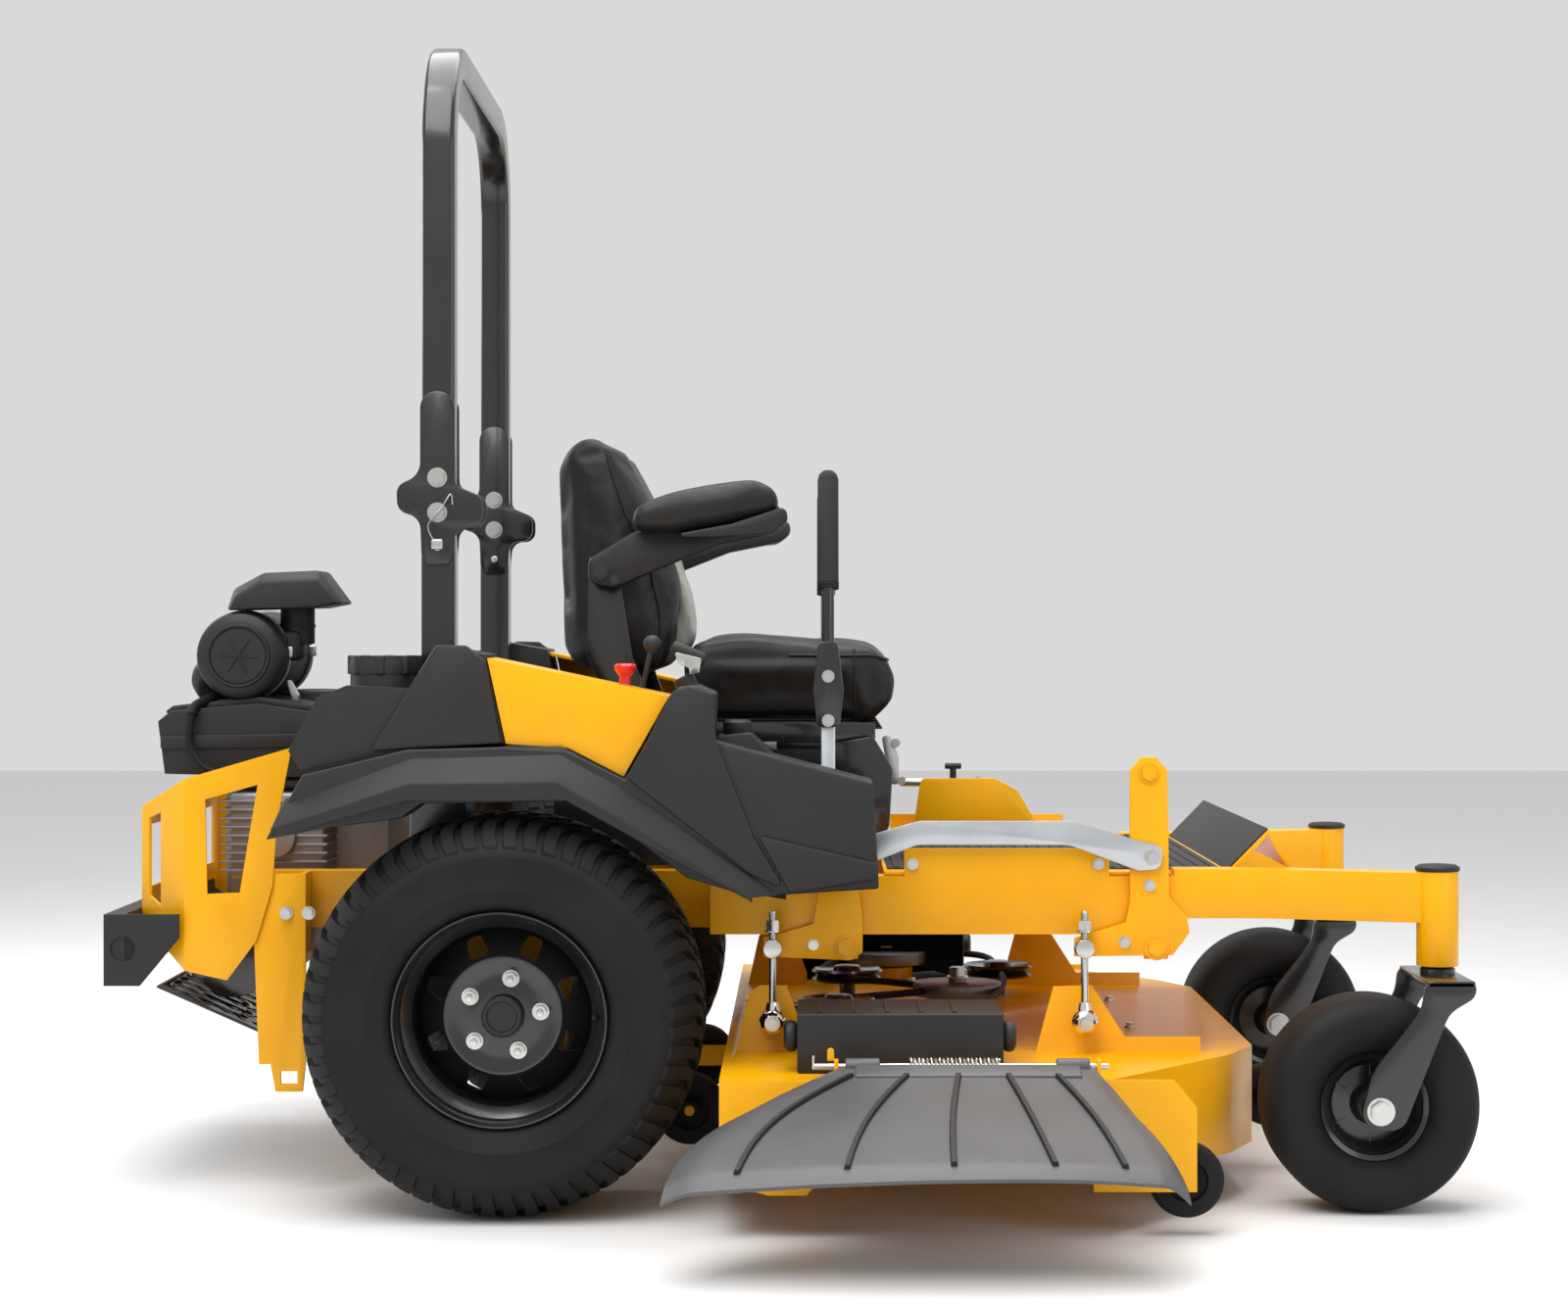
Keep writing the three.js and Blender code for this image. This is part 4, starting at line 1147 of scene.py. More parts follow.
def roll_bar_hoop():
    low, high = lowest("rops_hoop"), highest("rops_hoop")
    centre_x = pivot("rops_fold").x
    half, corner, bend = 0.0254, 0.007, 0.15
    centre_y = (low.y + high.y) / 2
    post = abs(at(0, 422, 0).y - DATUM.y)
    top = high.z - half
    path = []
    foot = pivot("rops_fold").z + 0.047
    path.append((-post, foot, 0.0))
    path.append((-post, top - bend, 0.0))
    for step in range(1, 13):
        turn = math.pi / 2 * step / 12
        path.append((-post + bend - bend * math.cos(turn), top - bend + bend * math.sin(turn), turn))
    path += [(-y, z, math.pi - turn) for y, z, turn in path[::-1]]
    rings = []
    for y, z, turn in path:
        across = Vector((0, -math.cos(turn), math.sin(turn)))
        rings.append(tube_ring(Vector((centre_x, centre_y + y, z)), Vector((1, 0, 0)), across, half, corner))
    return loft(rings)


HINGE_PLATE = (
    (-27, 190, 27), (-27, 60, 30), (-64, 44, 20), (-62, 4, 20), (-27, -6, 24), (-25, -62, 12),
    (-17, -78, 8), (17, -78, 8), (25, -62, 12), (28, -18, 24), (70, -20, 20), (70, 26, 20),
    (28, 44, 26), (27, 60, 30), (27, 190, 27))


class MOWER_OT_roll_bar(bpy.types.Operator):
    """Builds the folding roll bar with its hinge plates, bolts and lock pins"""

    bl_idname = "mower.roll_bar"
    bl_label = "Roll bar"

    def execute(self, context):
        hinge = pivot("rops_fold")
        pivot_x, pivot_z = (hinge.x - DATUM.x) * 1000, hinge.z * 1000
        points = [(pivot_x + x, pivot_z + z, r) for x, z, r in HINGE_PLATE]
        pieces = [roll_bar_hoop()]
        bolts, posts = [], []
        for out in (-1, 1):
            for inner in (422 + 26, 422 - 26 - 7):
                pieces.append(side_plate(points, *sorted((out * inner, out * (inner + 7))), edge=0.0015))
            face = out * (422 + 33)
            for dz, size in ((56, 22), (2, 22)):
                bolts.append(bolt_out(pivot_x, face, pivot_z + dz, out, size, 9))
                bolts.append(bolt_out(pivot_x, out * (422 - 33), pivot_z + dz, -out, size, 12))
            bolts.append(rod(at(pivot_x + 2, face + out * 14, pivot_z - 52),
                             at(pivot_x + 2, out * (422 - 46), pivot_z - 52), 0.0062, 20, 0.0015))
            bolts.append(brick(at(pivot_x - 7, min(face + out * 10, face + out * 22), pivot_z - 56),
                               at(pivot_x + 11, max(face + out * 10, face + out * 22), pivot_z - 40), 0.003))
            for lobe in (-44, 50):
                posts.append(lathe([(0.0045, -0.0005), (0.0075, -0.0005),
                                    (0.0075, 0.0012), (0.0045, 0.0012)],
                                   at(pivot_x + lobe, face + (0 if out > 0 else -0.7), pivot_z + 10),
                                   "Y", 24))
        place(joined("roll_bar_hoop", "black_paint", pieces, 30), "roll_bar", "black_paint",
              "rops_hoop")
        place(joined("roll_bar_bolts", "bright_bolt", bolts, 25), "roll_bar", "zinc_plate")
        place(joined("roll_bar_holes", "black_plastic", posts, 25), "roll_bar", "black_paint")
        softened("rops_base", 0.006, 4)
        for side, out in (("R", -1), ("L", 1)):
            face = out * 460
            wire = [at(pivot_x + ahead, face + out * beside, pivot_z + above) for ahead, beside, above in (
                (2, 10, -50), (-12, 14, -20), (8, 12, 8), (22, 8, 30), (24, 0, 14))]
            place(joined("pin_lanyard_" + side, "zinc_plate", [swept(smoothed(wire), 0.001, 6)], 60),
                  "roll_bar", "zinc_plate")
        return {"FINISHED"}


# ---------------------------------------------------------------- engine


class MOWER_OT_engine(bpy.types.Operator):
    """Builds the engine's air cleaner, covers, muffler and fittings"""

    bl_idname = "mower.engine"
    bl_label = "Engine"

    def execute(self, context):
        can = at(-931, 0, 841)
        profile = [(0, -0.238), (0.044, -0.238), (0.045, -0.2365), (0.046, -0.2365), (0.047, -0.2395),
                   (0.05, -0.24), (0.052, -0.2365), (0.06, -0.235), (0.068, -0.228), (0.071, -0.218),
                   (0.0715, -0.19), (0.0735, -0.189), (0.0735, -0.178), (0.069, -0.176), (0.0685, 0.04),
                   (0.071, 0.042), (0.071, 0.052), (0.067, 0.06), (0.064, 0.088), (0.05, 0.095), (0, 0.095)]
        bms = [lathe(profile, can, "Y", 96)]
        for step in range(3):
            bar = brick((-0.031, -0.2402, -0.0011), (0.031, -0.237, 0.0011), 0.0006)
            bar.transform(Matrix.Translation(can) @ Matrix.Rotation(math.radians(60 * step + 4), 4, "Y"))
            bms.append(bar)
        neck = lathe([(0, 0.072), (0.03, 0.072), (0.028, 0.08), (0.0255, 0.1), (0, 0.1)],
                     at(-850, -145, 815), "Z", 32)
        bms += [neck, rod(at(-850, -145, 860), at(-850, -145, 930), 0.028, 32, 0.002),
                brick(at(-905, -178, 832), at(-838, -112, 884), 0.012)]
        elbow = smoothed([at(-931, 96, 841), at(-965, 100, 842), at(-1000, 92, 826), at(-1016, 70, 795),
                          at(-1018, 50, 764)], 8)
        outlet = smoothed([at(-985, -150, 772), at(-1000, -165, 800), at(-985, -185, 820),
                           at(-962, -190, 812)], 6)
        bms += [swept(elbow, 0.025, 16), swept(outlet, 0.021, 16)]
        hood = loft([[at(x, y, z) for x, z in (
            (-955 + dx, 915), (-944 + dx, 950 - dz), (-896, 976 - dz), (-806, 980 - dz),
            (-766 - dx, 926), (-806, 919))]
            for y, dx, dz in ((-226, 6, 14), (-206, 0, 0), (-100, 0, 0), (-72, 8, 12))])
        bms.append(eased(hood, 0.005, 0.25))
        place(joined("air_filter", "black_plastic", bms, 32), "chassis", "black_plastic", "air_cleaner")
        clamps = []
        for y in (-178, 46):
            band = lathe([(0.0705, -0.005), (0.0742, -0.005), (0.0745, 0), (0.0742, 0.005), (0.0705, 0.005)],
                         can + Vector((0, y / 1000 + 0.006, 0)), "Y", 72)
            clamps.append(band)
            clamps.append(brick(at(-866, y - 4, 838), at(-852, y + 16, 856), 0.002))
        clamps.append(lathe([(0.0255, -0.004), (0.0275, -0.004), (0.0275, 0.004), (0.0255, 0.004)],
                            at(-1018, 50, 776), "Z", 40))
        stay = side_plate([(-872, 800, 4), (-866, 800, 4), (-852, 775, 6), (-850, 758, 3), (-862, 758, 3),
                           (-862, 772, 4)], -140, -110)
        clamps.append(stay)
        for x, y in ((-985, -205), (-760, -205), (-985, 205), (-760, 205)):
            clamps.append(hex_head(at(x, y, 754), (0, 0, 1), 0.012, 0.006))
        place(joined("engine_clamps", "zinc_plate", clamps, 30), "chassis", "zinc_plate")

        softened("engine_shroud", 0.012, 4)
        cover = side_plate([(-1056, 748, 6), (-1040, 760, 8), (-900, 775, 30), (-762, 754, 20),
                            (-720, 726, 8), (-760, 738, 20), (-900, 760, 30), (-1040, 746, 8)],
                           -222, 222, 0.003)
        band = side_plate([(-1056, 690, 4), (-1056, 712, 4), (-790, 716, 4), (-790, 694, 4)],
                          -243, -236, 0.002)
        blower = lathe([(0.03, 0), (0.115, 0), (0.118, 0.004), (0.112, 0.016), (0.03, 0.02)],
                       at(-845, 30, 762), "Z", 64)
        ribs = [brick(at(-958, -70 + 22 * i, 776), at(-732, -66 + 22 * i, 780), 0.001)
                for i in range(10)]
        place(joined("engine_cover", "black_plastic", [cover, band, blower] + ribs, 30), "chassis",
              "black_plastic")
        hose = smoothed([at(-1003, -252, 748), at(-1006, -256, 700), at(-985, -262, 665), at(-955, -262, 650),
                         at(-925, -250, 640)], 8)
        lead = smoothed([at(-975, -200, 775), at(-1000, -240, 760), at(-1003, -252, 746)], 6)
        place(joined("engine_hose", "tyre_rubber", [swept(hose, 0.006, 12), swept(lead, 0.008, 12)], 60),
              "chassis", "tyre_rubber")
        fins = []
        for out in (-1, 1):
            for i in range(9):
                z = 492 + 14 * i
                fins.append(brick(at(-958, min(out * 128, out * 246), z),
                                  at(-786, max(out * 128, out * 246), z + 4), 0.001))
            fins.append(rod(at(-870, out * 238, 550), at(-870, out * 262, 550), 0.036, 32, 0.004))
            fins.append(rod(at(-910, out * 180, 480), at(-910, out * 190, 420), 0.022, 24, 0.003))
        oil = lathe([(0, 0), (0.036, 0), (0.038, 0.004), (0.038, 0.08), (0.03, 0.092), (0, 0.094)],
                    at(-980, 0, 440), "X", 40)
        place(joined("engine_fins", "cast_metal", fins, 30), "chassis", "cast_metal")
        place(joined("oil_filter", "black_paint", [oil], 30), "chassis", "black_paint")
        softened("engine_block", 0.006, 3)
        softened("muffler", 0.008, 3)
        slots = []
        guard_low, guard_high = lowest("muffler_guard"), highest("muffler_guard")
        panel = brick((-0.094, -0.3, -0.002), (0.094, 0.3, 0.002), 0.001)
        for row in range(6):
            for column in range(12):
                for lean in (-1, 1):
                    slot = brick((-0.009, -0.003, -0.01), (0.009, 0.003, 0.01))
                    turn = Matrix.Rotation(math.radians(lean * 32), 4, "Z")
                    slot.transform(Matrix.Translation((-0.075 + row * 0.03, -0.265 + column * 0.048
                                                       + lean * 0.0065, 0)) @ turn)
                    slots.append(slot)
        base = object_from("panel", panel, "black_paint")
        cutter = joined("cutter", "black_paint", slots)
        cut = base.modifiers.new("Slots", "BOOLEAN")
        cut.operation = "DIFFERENCE"
        cut.object = cutter
        cut.solver = "EXACT"
        cut.use_self = True
        baked(base)
        bpy.data.objects.remove(cutter)
        slope = math.atan2(guard_high.z - guard_low.z - 0.006, guard_high.x - guard_low.x)
        base.data.transform(Matrix.Translation((guard_low + guard_high) / 2) @ Matrix.Rotation(slope, 4, "Y"))
        base.name = "muffler_grille"
        place(base, "chassis", "black_paint", "muffler_guard")
        return {"FINISHED"}


# ---------------------------------------------------------------- deck


def chute_point(across, away, drop=0.0):
    """A place on the chute: across runs 0 to 1 from back to front, away 0 to 1 from hinge to edge."""
    hinge = Vector((42 + 362 * across, -6, 0))
    rim = [(-207, -340), (-70, -354), (70, -361), (215, -362), (350, -359), (430, -354), (508, -346)]
    place_along = across * (len(rim) - 1)
    i = min(int(place_along), len(rim) - 2)
    edge = Vector(rim[i]).lerp(Vector(rim[i + 1]), place_along - i)
    spot = hinge.lerp(Vector((edge.x, edge.y, 0)), away)
    spot.x += math.sin(math.pi * away) * (22 * across ** 3 - 58 * (1 - across) ** 3)
    sag = -16 * (1 - across) ** 4 * away ** 3 + 20 * math.sin(math.pi * across) * away
    curl = -24 * max(0, (across - 0.93) / 0.07) ** 1.5 - 14 * max(0, (0.05 - across) / 0.05) ** 1.5
    rim_curl = -9 * max(0, (away - 0.93) / 0.07) ** 1.5
    return spot + Vector((0, 0, sag + curl * min(1, away * 3) + rim_curl + drop))


def chute_sheet(thick):
    columns, rows = 44, 18
    bm = bmesh.new()
    grids = []
    for drop in (thick / 2, -thick / 2):
        grids.append([[bm.verts.new(chute_point(i / columns, j / rows, drop)) for j in range(rows + 1)]
                      for i in range(columns + 1)])
    for grid in grids:
        for i in range(columns):
            for j in range(rows):
                bm.faces.new((grid[i][j], grid[i + 1][j], grid[i + 1][j + 1], grid[i][j + 1]))
    top, under = grids
    rim = [(i, 0) for i in range(columns)] + [(columns, j) for j in range(rows)]
    rim += [(i, rows) for i in range(columns, 0, -1)] + [(0, j) for j in range(rows, 0, -1)]
    for (i, j), (k, m) in zip(rim, rim[1:] + rim[:1]):
        bm.faces.new((top[i][j], top[k][m], under[k][m], under[i][j]))
    return bm


def chute_rib(across, width, height, start=0.1, end=0.93):
    rings = []
    for step in range(13):
        away = start + (end - start) * step / 12
        spot = chute_point(across, away)
        side_step = Vector((width / 2, 0, 0))
        rings.append([spot - side_step + Vector((0, 0, -1)), spot + side_step + Vector((0, 0, -1)),
                      spot + side_step * 0.6 + Vector((0, 0, height)),
                      spot - side_step * 0.6 + Vector((0, 0, height))])
    return loft(rings)


def coil(start, end, radius, wire, turns, sides=6):
    """A coil spring between two points."""
    start, end = Vector(start), Vector(end)
    along = (end - start).normalized()
    side = along.orthogonal().normalized()
    up = along.cross(side)
    steps = turns * 12
    points = []
    for step in range(steps + 1):
        turn = 2 * math.pi * step / 12
        points.append(start.lerp(end, step / steps) + side * radius * math.cos(turn)
                      + up * radius * math.sin(turn))
    return swept(points, wire, sides)


class MOWER_OT_chute(bpy.types.Operator):
    """Builds the discharge chute with its ribs, hinge rod and spring"""

    bl_idname = "mower.chute"
    bl_label = "Discharge chute"

    def execute(self, context):
        hinge = pivot("chute_flip")
        origin = at(0, 0, 0)
        droop = math.radians(18.3)
        turn = (Matrix.Translation((origin.x, hinge.y, hinge.z)) @ Matrix.Rotation(droop, 4, "X")
                @ Matrix.Scale(0.001, 4))
        sheet_piece = chute_sheet(5.5)
        sleeves = [rod((46, 0, 0), (96, 0, 0), 12, 24, 2), rod((352, 0, 0), (400, 0, 0), 12, 24, 2),
                   brick((60, -44, -4), (386, -6, 7), 2.5)]
        for bm in [sheet_piece] + sleeves:
            bm.transform(turn)
        place(joined("chute_fan", "grey_plastic", [sheet_piece] + sleeves, 40), "chute", "black_plastic",
              "discharge_chute")
        ribs = [chute_rib(across, 11, 9) for across in (0.12, 0.3, 0.47, 0.64, 0.82)]
        for bm in ribs:
            bm.transform(turn)
        place(joined("chute_ribs", "black_plastic", ribs, 40), "chute", "black_plastic")
        low, high = at(30, 0, 0).x, at(416, 0, 0).x
        wire = [rod((low - 0.03, hinge.y, hinge.z), (high + 0.012, hinge.y, hinge.z), 0.0048, 16, 0.001),
                coil((at(140, 0, 0).x, hinge.y, hinge.z + 0.002), (at(270, 0, 0).x, hinge.y, hinge.z + 0.002),
                     0.0105, 0.0014, 22)]
        wire.append(rod((low - 0.03, hinge.y, hinge.z - 0.004),
                        (low - 0.03, hinge.y, hinge.z + 0.016), 0.002, 10))
        place(joined("chute_spring", "bright_bolt", wire, 50), "deck", "zinc_plate")
        tab = side_plate([(20, 258, 2), (20, 276, 5), (30, 276, 5), (30, 258, 2)],
                         (hinge.y - DATUM.y) * 1000 + 6, (hinge.y - DATUM.y) * 1000 + 16)
        place(joined("chute_stop", "yellow_paint", [tab]), "deck", "yellow_paint")
        return {"FINISHED"}


class MOWER_OT_deck_fittings(bpy.types.Operator):
    """Adds belt covers, pulleys, springs, bolts and wheels to the cutting deck"""

    bl_idname = "mower.deck_fittings"
    bl_label = "Deck fittings"

    def execute(self, context):
        for side, out in (("R", -1), ("L", 1)):
            softened("belt_cover_" + side, 0.004, 3)
            low, high = lowest("belt_cover_" + side), highest("belt_cover_" + side)
            knob = [(0, 0), (0.018, 0), (0.022, 0.003), (0.024, 0.009), (0.022, 0.016),
                    (0.016, 0.02), (0, 0.02)]
            y = low.y + 0.03 if out < 0 else high.y - 0.03
            knobs = [lathe(knob, Vector((high.x, y, high.z - 0.036)), "X", 40),
                     lathe([(r, -a) for r, a in knob], Vector((low.x, y, high.z - 0.036)), "X", 40)]
            for i in range(5):
                knobs.append(brick((low.x + 0.03 + i * 0.05, low.y + 0.02, high.z),
                                   (low.x + 0.036 + i * 0.05, high.y - 0.02, high.z + 0.0025), 0.001))
            place(joined("belt_cover_knobs_" + side, "black_plastic", knobs, 40), "deck", "black_plastic")
        grooved = [(0, 0), (0.068, 0), (0.074, 0.004), (0.062, 0.011), (0.074, 0.018), (0.068, 0.022),
                   (0.058, 0.018), (0.03, 0.018), (0.026, 0.026), (0.02, 0.028), (0, 0.028)]
        idlers = []
        for x, y, z in ((-40, -350, 262), (40, -210, 262), (330, 300, 262), (60, 230, 262)):
            idlers.append(lathe([(r * 0.86, a) for r, a in grooved], at(x, y, z), "Z", 64))
            idlers.append(rod(at(x, y, 230), at(x, y, 262), 0.014, 20))
        idlers.append(brick(at(-60, -362, 244), at(70, -196, 252), 0.002))
        place(joined("idler_pulleys", "black_paint", idlers, 30), "deck", "black_paint")
        loop = [(-105, -350), (-40, -414), (135, -560), (205, -487), (318, 10), (330, 366), (300, 560),
                (135, 594), (62, 521), (20, 240), (180, 60), (180, -30), (30, -150)]
        belt = smoothed([at(x, y, 273) for x, y in loop + loop[:1]], 10)
        place(joined("drive_belt", "tyre_rubber", [swept(belt, 0.0062, 8)], 40), "deck", "tyre_rubber")
        springs = [coil(at(130, -395, 272), at(250, -350, 272), 0.016, 0.0028, 20, 8)]
        place(joined("idler_spring", "copper_wire", springs, 60), "deck", "zinc_plate")
        bolts = []
        for x, y in ((135, -487), (245, 17), (135, 521)):
            bolts.append(hex_head(at(x, y, 292), (0, 0, 1), 0.026, 0.016))
            for i in range(4):
                turn = math.pi / 4 + i * math.pi / 2
                bolts.append(hex_head(at(x + 66 * math.cos(turn), y + 66 * math.sin(turn), 231), (0, 0, 1),
                                      0.015, 0.008))
        for out in (-1, 1):
            for x, z in ((418, 279), (-63, 279)):
                bolts.append(bolt_out(x, out * 496, z, out, 17, 7))
        for x in (-110, 30, 300, 520):
            for y in (-160, 200):
                bolts.append(hex_head(at(x, y, 230.5), (0, 0, 1), 0.013, 0.006))
        y_wall = -751
        for x, z in ((-100, 150), (-60, 190), (16, 190)):
            bolts.append(bolt_out(x, y_wall, z, -1, 13, 6))
        place(joined("deck_bolts", "bright_bolt", bolts, 25), "deck", "zinc_plate")
        for node, joint in (("front_R", "front_R"), ("front_L", "front_L"), ("front_mid", "front_mid"),
                            ("rear_R", "rear_R"), ("rear_L", "rear_L")):
            name = "scalp_wheel_" + node
            low, high = lowest(name), highest(name)
            centre, radius, half = (low + high) / 2, (high.z - low.z) / 2, (high.y - low.y) / 2
            ring = [(radius * 0.56, -half), (radius * 0.88, -half), (radius * 0.97, -half * 0.8),
                    (radius, -half * 0.45), (radius, half * 0.45), (radius * 0.97, half * 0.8),
                    (radius * 0.88, half), (radius * 0.56, half), (radius * 0.52, half * 0.6),
                    (0.016, half * 0.5), (0.016, half), (0.0085, half), (0.0085, -half), (0.016, -half),
                    (0.016, -half * 0.5), (radius * 0.52, -half * 0.6)]
            wheel = object_from("deck_roller_" + node, lathe(ring, centre, segments=64), "tyre_rubber", 35)
            place(wheel, "scalp_" + joint, "tyre_rubber", name)
        for name in ("blade_right", "blade_centre", "blade_left"):
            softened(name, 0.0012, 2)
        return {"FINISHED"}


# ---------------------------------------------------------------- lift linkage


def hanger(node, body, joint, out):
    low, high = lowest(node), highest(node)
    top = pivot(joint)
    y = middle(node).y
    ball = low.z + 0.022
    bms = [rod((top.x, y, ball), (top.x, y, high.z), 0.0058, 20, 0.001)]
    threads = [lathe([(0.0052, i * 0.0022), (0.0066, i * 0.0022 + 0.0009), (0.0052, i * 0.0022 + 0.0018)],
                     Vector((top.x, y, high.z - 0.046)), "Z", 20) for i in range(20)]
    nuts = [hex_head((top.x, y, high.z - 0.032), (0, 0, 1), 0.019, 0.016)]
    pins = [rod((top.x, y + out * 0.014, top.z), (top.x, y - out * 0.024, top.z), 0.0148, 36, 0.002)]
    place(joined(node + "_rod", "bright_bolt", bms + threads + nuts + pins, 30), body, "zinc_plate", node)
    sphere = bmesh.new()
    bmesh.ops.create_uvsphere(sphere, u_segments=40, v_segments=24, radius=0.0215)
    sphere.transform(Matrix.Translation((top.x, y, ball)))
    collar = lathe([(0.0058, 0), (0.0115, 0), (0.009, 0.012), (0.0058, 0.013)],
                   Vector((top.x, y, ball + 0.018)), "Z", 32)
    place(joined(node + "_ball", "chrome", [sphere, collar], 60), body, "zinc_plate")


class MOWER_OT_linkage(bpy.types.Operator):
    """Builds the deck lift's cranks, hangers, link bar and their pins"""

    bl_idname = "mower.linkage"
    bl_label = "Lift linkage"

    def execute(self, context):
        for end in ("front", "rear"):
            for side, out in (("R", -1), ("L", 1)):
                hanger(end + "_hanger_" + side, end + "_hangers_" + side,
                       end + "_hanger_turn_" + side, out)
        bar = side_plate([(536, 514, 14), (541, 550, 16), (508, 556, 12), (400, 588, 40), (163, 588, 40),
                          (100, 570, 30), (28, 548, 16), (22, 514, 14), (60, 512, 14), (160, 551, 40),
                          (394, 551, 40), (502, 511, 20)], -468, -460, 0.001)
        place(joined("link_bar_plate", "zinc_plate", [bar], 30), "link_bar", "zinc_plate", "lift_link_bar")
        pins = [bolt_out(523, -468, 532, -1, 17, 8), bolt_out(39, -468, 530, -1, 17, 8)]
        place(joined("link_bar_pins", "bright_bolt", pins, 25), "link_bar", "zinc_plate")
        for name, body, spots in (
                ("front", "front_crank", ((519, 662, 24), (531, 392, 28))),
                ("rear", "rear_crank", ((51, 392, 28),))):
            heads = [bolt_out(x, -458, z, -1, size, 5) for x, z, size in spots]
            heads += [bolt_out(x, 458, z, 1, size, 5) for x, z, size in spots if z < 500]
            place(joined(name + "_crank_heads", "yellow_paint", heads, 25), body, "yellow_paint")
        small = [bolt_out(520, -458, 488, -1, 13, 6), bolt_out(481, -458, 400, -1, 13, 6)]
        place(joined("front_crank_bolts", "bright_bolt", small, 25), "front_crank", "zinc_plate")
        place(joined("rear_crank_bolt", "bright_bolt", [bolt_out(0, -458, 396, -1, 12, 6)], 25),
              "rear_crank", "zinc_plate")
        rails = [bolt_out(x, out * 445.5, 520, out, 13, 6) for x in (154, 442) for out in (-1, 1)]
        for x, z in ((-825, 440), (-790, 440)):
            rails += [bolt_out(x, out * 401, z, out, 15, 8) for out in (-1, 1)]
        place(joined("frame_bolts", "bright_bolt", rails, 25), "chassis", "zinc_plate")
        return {"FINISHED"}


# ---------------------------------------------------------------- controls


def lap_bar(side, out):
    pivot_point = pivot("lever_swing_" + side)
    y = (pivot_point.y - DATUM.y) * 1000
    x = (pivot_point.x - DATUM.x) * 1000
    face = y + out * 11
    plate_low = sorted((y + out * 6, y + out * 12))
    bracket = side_plate([(x - 18, 732, 10), (x - 24, 790, 20), (x - 15, 865, 10), (x + 15, 865, 10),
                          (x + 24, 790, 20), (x + 18, 732, 10)], *plate_low, edge=0.0015)
    tube = [bracket, brick(at(x - 15, y - 9, 742), at(x + 15, y + 9, 856), 0.003),
            rod(at(x, y, 850), at(x, y, 965), 0.0095, 24)]
    place(joined("lap_bar_bracket_" + side, "black_paint", tube, 30), "lap_bar_" + side, "black_paint",
          "lap_bar_" + side)
    top = at(x, y + (50 if out < 0 else -50), 1135)
    grip = rod(at(x, y, 942), top, 0.0165, 32, 0.016)
    rings = [rod(at(x, y, 940).lerp(top, t), at(x, y, 940).lerp(top, t + 0.006), 0.0172, 32, 0.0004)
             for t in (0.04, 0.06, 0.08)]
    place(joined("lap_bar_grip_" + side, "foam", [grip] + rings, 40), "lap_bar_" + side, "black_plastic")
    bolts = [bolt_out(x, face, 811, out, 14, 7), bolt_out(x, face, 742, out, 14, 7)]
    place(joined("lap_bar_bolts_" + side, "bright_bolt", bolts, 25), "lap_bar_" + side, "zinc_plate")


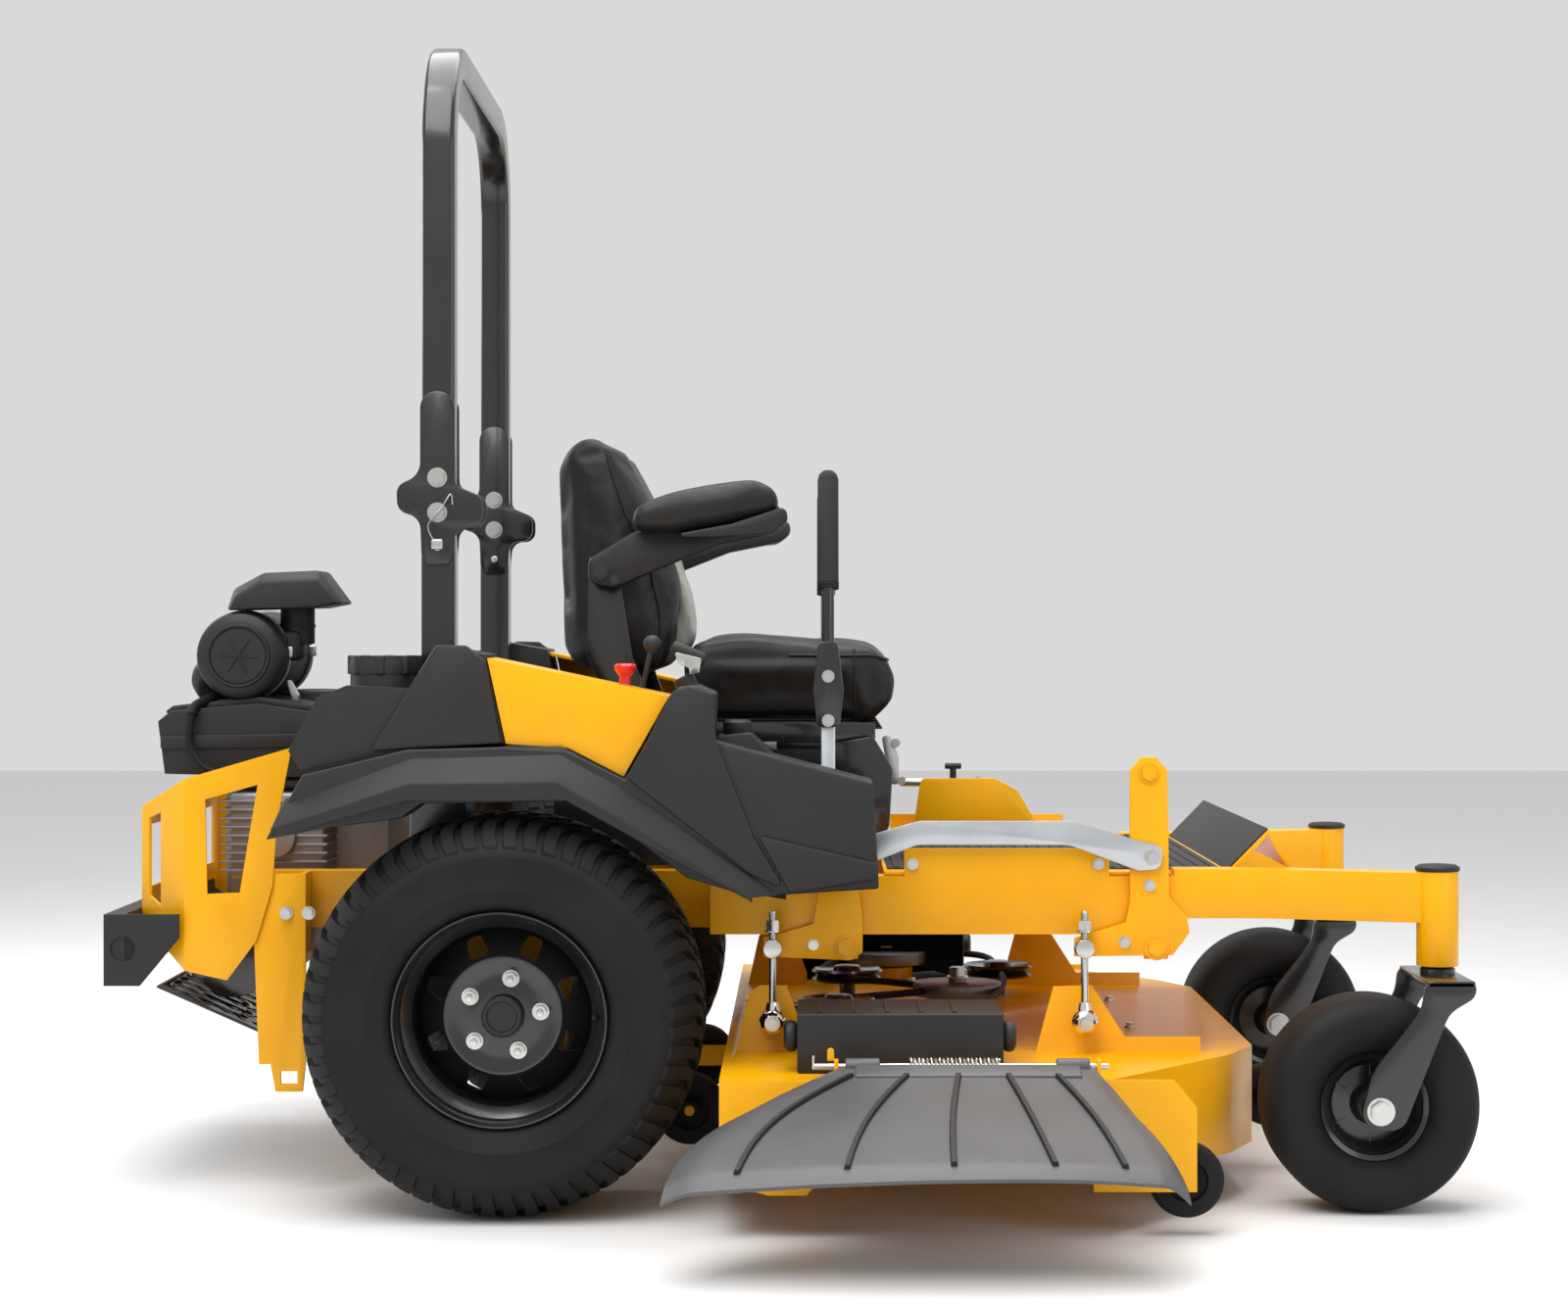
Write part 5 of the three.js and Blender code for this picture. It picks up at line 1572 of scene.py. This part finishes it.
class MOWER_OT_controls(bpy.types.Operator):
    """Builds the lap bars, throttle, blade switch and the floor's mats"""

    bl_idname = "mower.controls"
    bl_label = "Controls"

    def execute(self, context):
        for side, out in (("R", -1), ("L", 1)):
            lap_bar(side, out)
            softened("control_arm_" + side, 0.0015, 2)
        knob = lathe([(0, 0), (0.009, 0), (0.009, 0.012), (0.011, 0.014), (0.0165, 0.022), (0.017, 0.028),
                      (0.014, 0.031), (0, 0.032)], Vector((*middle("pto_knob").xy, lowest("pto_knob").z)),
                     "Z", 40)
        place(joined("blade_switch", "red_plastic", [knob], 40), "pto", "red_plastic", "pto_knob")
        ball = bmesh.new()
        bmesh.ops.create_uvsphere(ball, u_segments=32, v_segments=20, radius=0.0135)
        ball.transform(Matrix.Translation(at(-245, -540, 862)))
        stalk = rod(at(-260, -540, 795), at(-247, -540, 852), 0.004, 16)
        place(joined("throttle_ball", "black_plastic", [ball, stalk], 50), "throttle", "black_plastic",
              "throttle_lever")
        grip = rod(at(-216, -520, 858), at(-166, -520, 836), 0.011, 28, 0.004)
        drum = rod(at(-200, -512, 812), at(-184, -512, 780), 0.017, 28, 0.003)
        place(joined("choke_grip", "black_plastic", [grip, drum], 40), "chassis", "black_plastic")
        clip = side_plate([(-212, 850, 3), (-170, 840, 3), (-174, 818, 3), (-188, 814, 3), (-190, 826, 3),
                           (-206, 832, 3)], -532, -526, 0.001)
        hinge_bolt = [bolt_out(-190, -532, 832, -1, 9, 4), clip]
        place(joined("control_clip", "bright_bolt", hinge_bolt, 25), "chassis", "zinc_plate")
        mats = [brick(at(116, -386, 506.2), at(640, 386, 509.5), 0.001)]
        for i in range(26):
            mats.append(brick(at(126 + i * 20, -380, 509), at(134 + i * 20, 380, 511.5), 0.0008))
        rest = side_plate([(645, 505, 1), (711, 573, 1), (714, 570, 1), (648, 502.5, 1)], -388, 388, 0.0008)
        place(joined("floor_mat", "mat_rubber", mats + [rest], 30), "chassis", "black_plastic")
        post = side_plate([(156, 600, 6), (156, 652, 6), (142, 690, 9), (124, 690, 9), (140, 600, 6)],
                          402, 408, 0.001)
        strut = rod(at(160, 404, 604), at(300, 404, 604), 0.008, 20, 0.002)
        place(joined("height_lever", "zinc_plate", [post, strut], 30), "chassis", "zinc_plate")
        housing = side_plate([(180, 508, 4), (196, 612, 10), (330, 612, 16), (372, 590, 10), (420, 508, 4)],
                             392, 398, 0.001)
        place(joined("height_guide", "yellow_paint", [housing], 30), "chassis", "yellow_paint")
        tee = [rod(at(255, 400, 606), at(255, 400, 632), 0.006, 16), rod(at(240, 400, 634), at(270, 400, 634),
                                                                        0.0055, 16, 0.002)]
        heads = [bolt_out(150, 400, 676, -1, 12, 6), bolt_out(162, 400, 606, -1, 12, 6),
                 bolt_out(300, 400, 606, -1, 12, 6)]
        place(joined("height_knob", "black_plastic", tee, 40), "chassis", "black_plastic")
        place(joined("height_bolts", "bright_bolt", heads, 25), "chassis", "zinc_plate")
        box = [brick(at(-60, -232, 690), at(70, 232, 703), 0.002),
               side_plate([(60, 600, 10), (20, 640, 10), (30, 700, 8), (96, 712, 12), (128, 660, 20),
                           (122, 560, 16), (70, 540, 10)], -262, -254, 0.002)]
        place(joined("seat_mount", "black_paint", box, 30), "chassis", "black_paint")
        return {"FINISHED"}


STUDIO_LIGHTS = (  # name, place from the middle of the object, size in metres, power in watts
    ("key", (-1.0, -2.6, 4.0), 3.0, 120),
    ("fill", (3.4, -3.0, 1.8), 2.0, 22),
    ("top", (0.0, 0.4, 4.2), 3.6, 150),
    ("rim", (-3.4, 1.6, 2.6), 2.0, 50))
WORLD_STRENGTH = 0.7
CAMERA_PLACE = (0.048, -5.04, 0.886)
CAMERA_LENS = 70.4
CAMERA_SHIFT = (-0.01875, -0.0159)


class MOWER_OT_stage(bpy.types.Operator):
    """Sets the pale floor, the soft lights and the camera"""

    bl_idname = "mower.stage"
    bl_label = "Stage"

    def execute(self, context):
        low, high = (Vector(corner) for corner in CAD_BOX)
        middle_x, middle_y = (low.x + high.x) / 2, (low.y + high.y) / 2
        floor = brick((-14, -14, -0.02), (14, 14, 0))
        mesh = bpy.data.meshes.new("floor")
        floor.to_mesh(mesh)
        floor.free()
        ground = bpy.data.objects.new("floor", mesh)
        context.scene.collection.objects.link(ground)
        mesh.materials.append(surface("Studio floor", (0.8, 0.8, 0.8), 0.7, grain=3, depth=0.00002,
                                      blotch=0.01))
        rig.stage(ground)
        for name, spot, size, power in STUDIO_LIGHTS:
            light = bpy.data.lights.new(name, "AREA")
            light.size = size
            light.energy = power
            holder = bpy.data.objects.new(name, light)
            holder.location = (middle_x + spot[0], middle_y + spot[1], spot[2])
            aim = Vector((middle_x, middle_y, 0.7)) - holder.location
            holder.rotation_euler = aim.to_track_quat("-Z", "Y").to_euler()
            context.scene.collection.objects.link(holder)
        world = bpy.data.worlds.new("Studio")
        world.use_nodes = True
        world.node_tree.nodes["Background"].inputs["Color"].default_value = (1, 1, 1, 1)
        world.node_tree.nodes["Background"].inputs["Strength"].default_value = WORLD_STRENGTH
        context.scene.world = world
        lens = bpy.data.cameras.new("camera")
        lens.sensor_width = 36
        lens.lens = CAMERA_LENS
        lens.shift_x, lens.shift_y = CAMERA_SHIFT
        camera = bpy.data.objects.new("camera", lens)
        camera.location = CAMERA_PLACE
        camera.rotation_euler = (math.pi / 2, 0, 0)
        context.scene.collection.objects.link(camera)
        context.scene.camera = camera
        context.scene.view_settings.view_transform = "Standard"
        return {"FINISHED"}


class MOWER_PT_panel(bpy.types.Panel):
    """The mower's settings and its pieces"""

    bl_idname = "MOWER_PT_panel"
    bl_label = "Zero turn mower"
    bl_space_type = "VIEW_3D"
    bl_region_type = "UI"
    bl_category = "Mower"

    def draw(self, context):
        for settings in (context.scene.mower_paint, context.scene.mower_trim):
            for name in settings.__annotations__:
                self.layout.prop(settings, name)
        for operator in OPERATORS:
            self.layout.operator(operator.bl_idname)


OPERATORS = [value for key, value in list(globals().items()) if key.startswith("MOWER_OT_")]
CLASSES = (MowerPaint, MowerTrim, *OPERATORS, MOWER_PT_panel)


def register():
    for item in CLASSES:
        bpy.utils.register_class(item)
    bpy.types.Scene.mower_paint = bpy.props.PointerProperty(type=MowerPaint)
    bpy.types.Scene.mower_trim = bpy.props.PointerProperty(type=MowerTrim)


def unregister():
    del bpy.types.Scene.mower_trim
    del bpy.types.Scene.mower_paint
    for item in reversed(CLASSES):
        bpy.utils.unregister_class(item)


def main():
    register()
    for operator in OPERATORS:
        group, name = operator.bl_idname.split(".")
        getattr(getattr(bpy.ops, group), name)()
    with open("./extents.json", "w") as out:
        json.dump({"cad": [list(corner) for corner in CAD_BOX],
                   "scene": [list(corner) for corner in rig.bounds()]}, out)


if __name__ == "__main__":
    main()
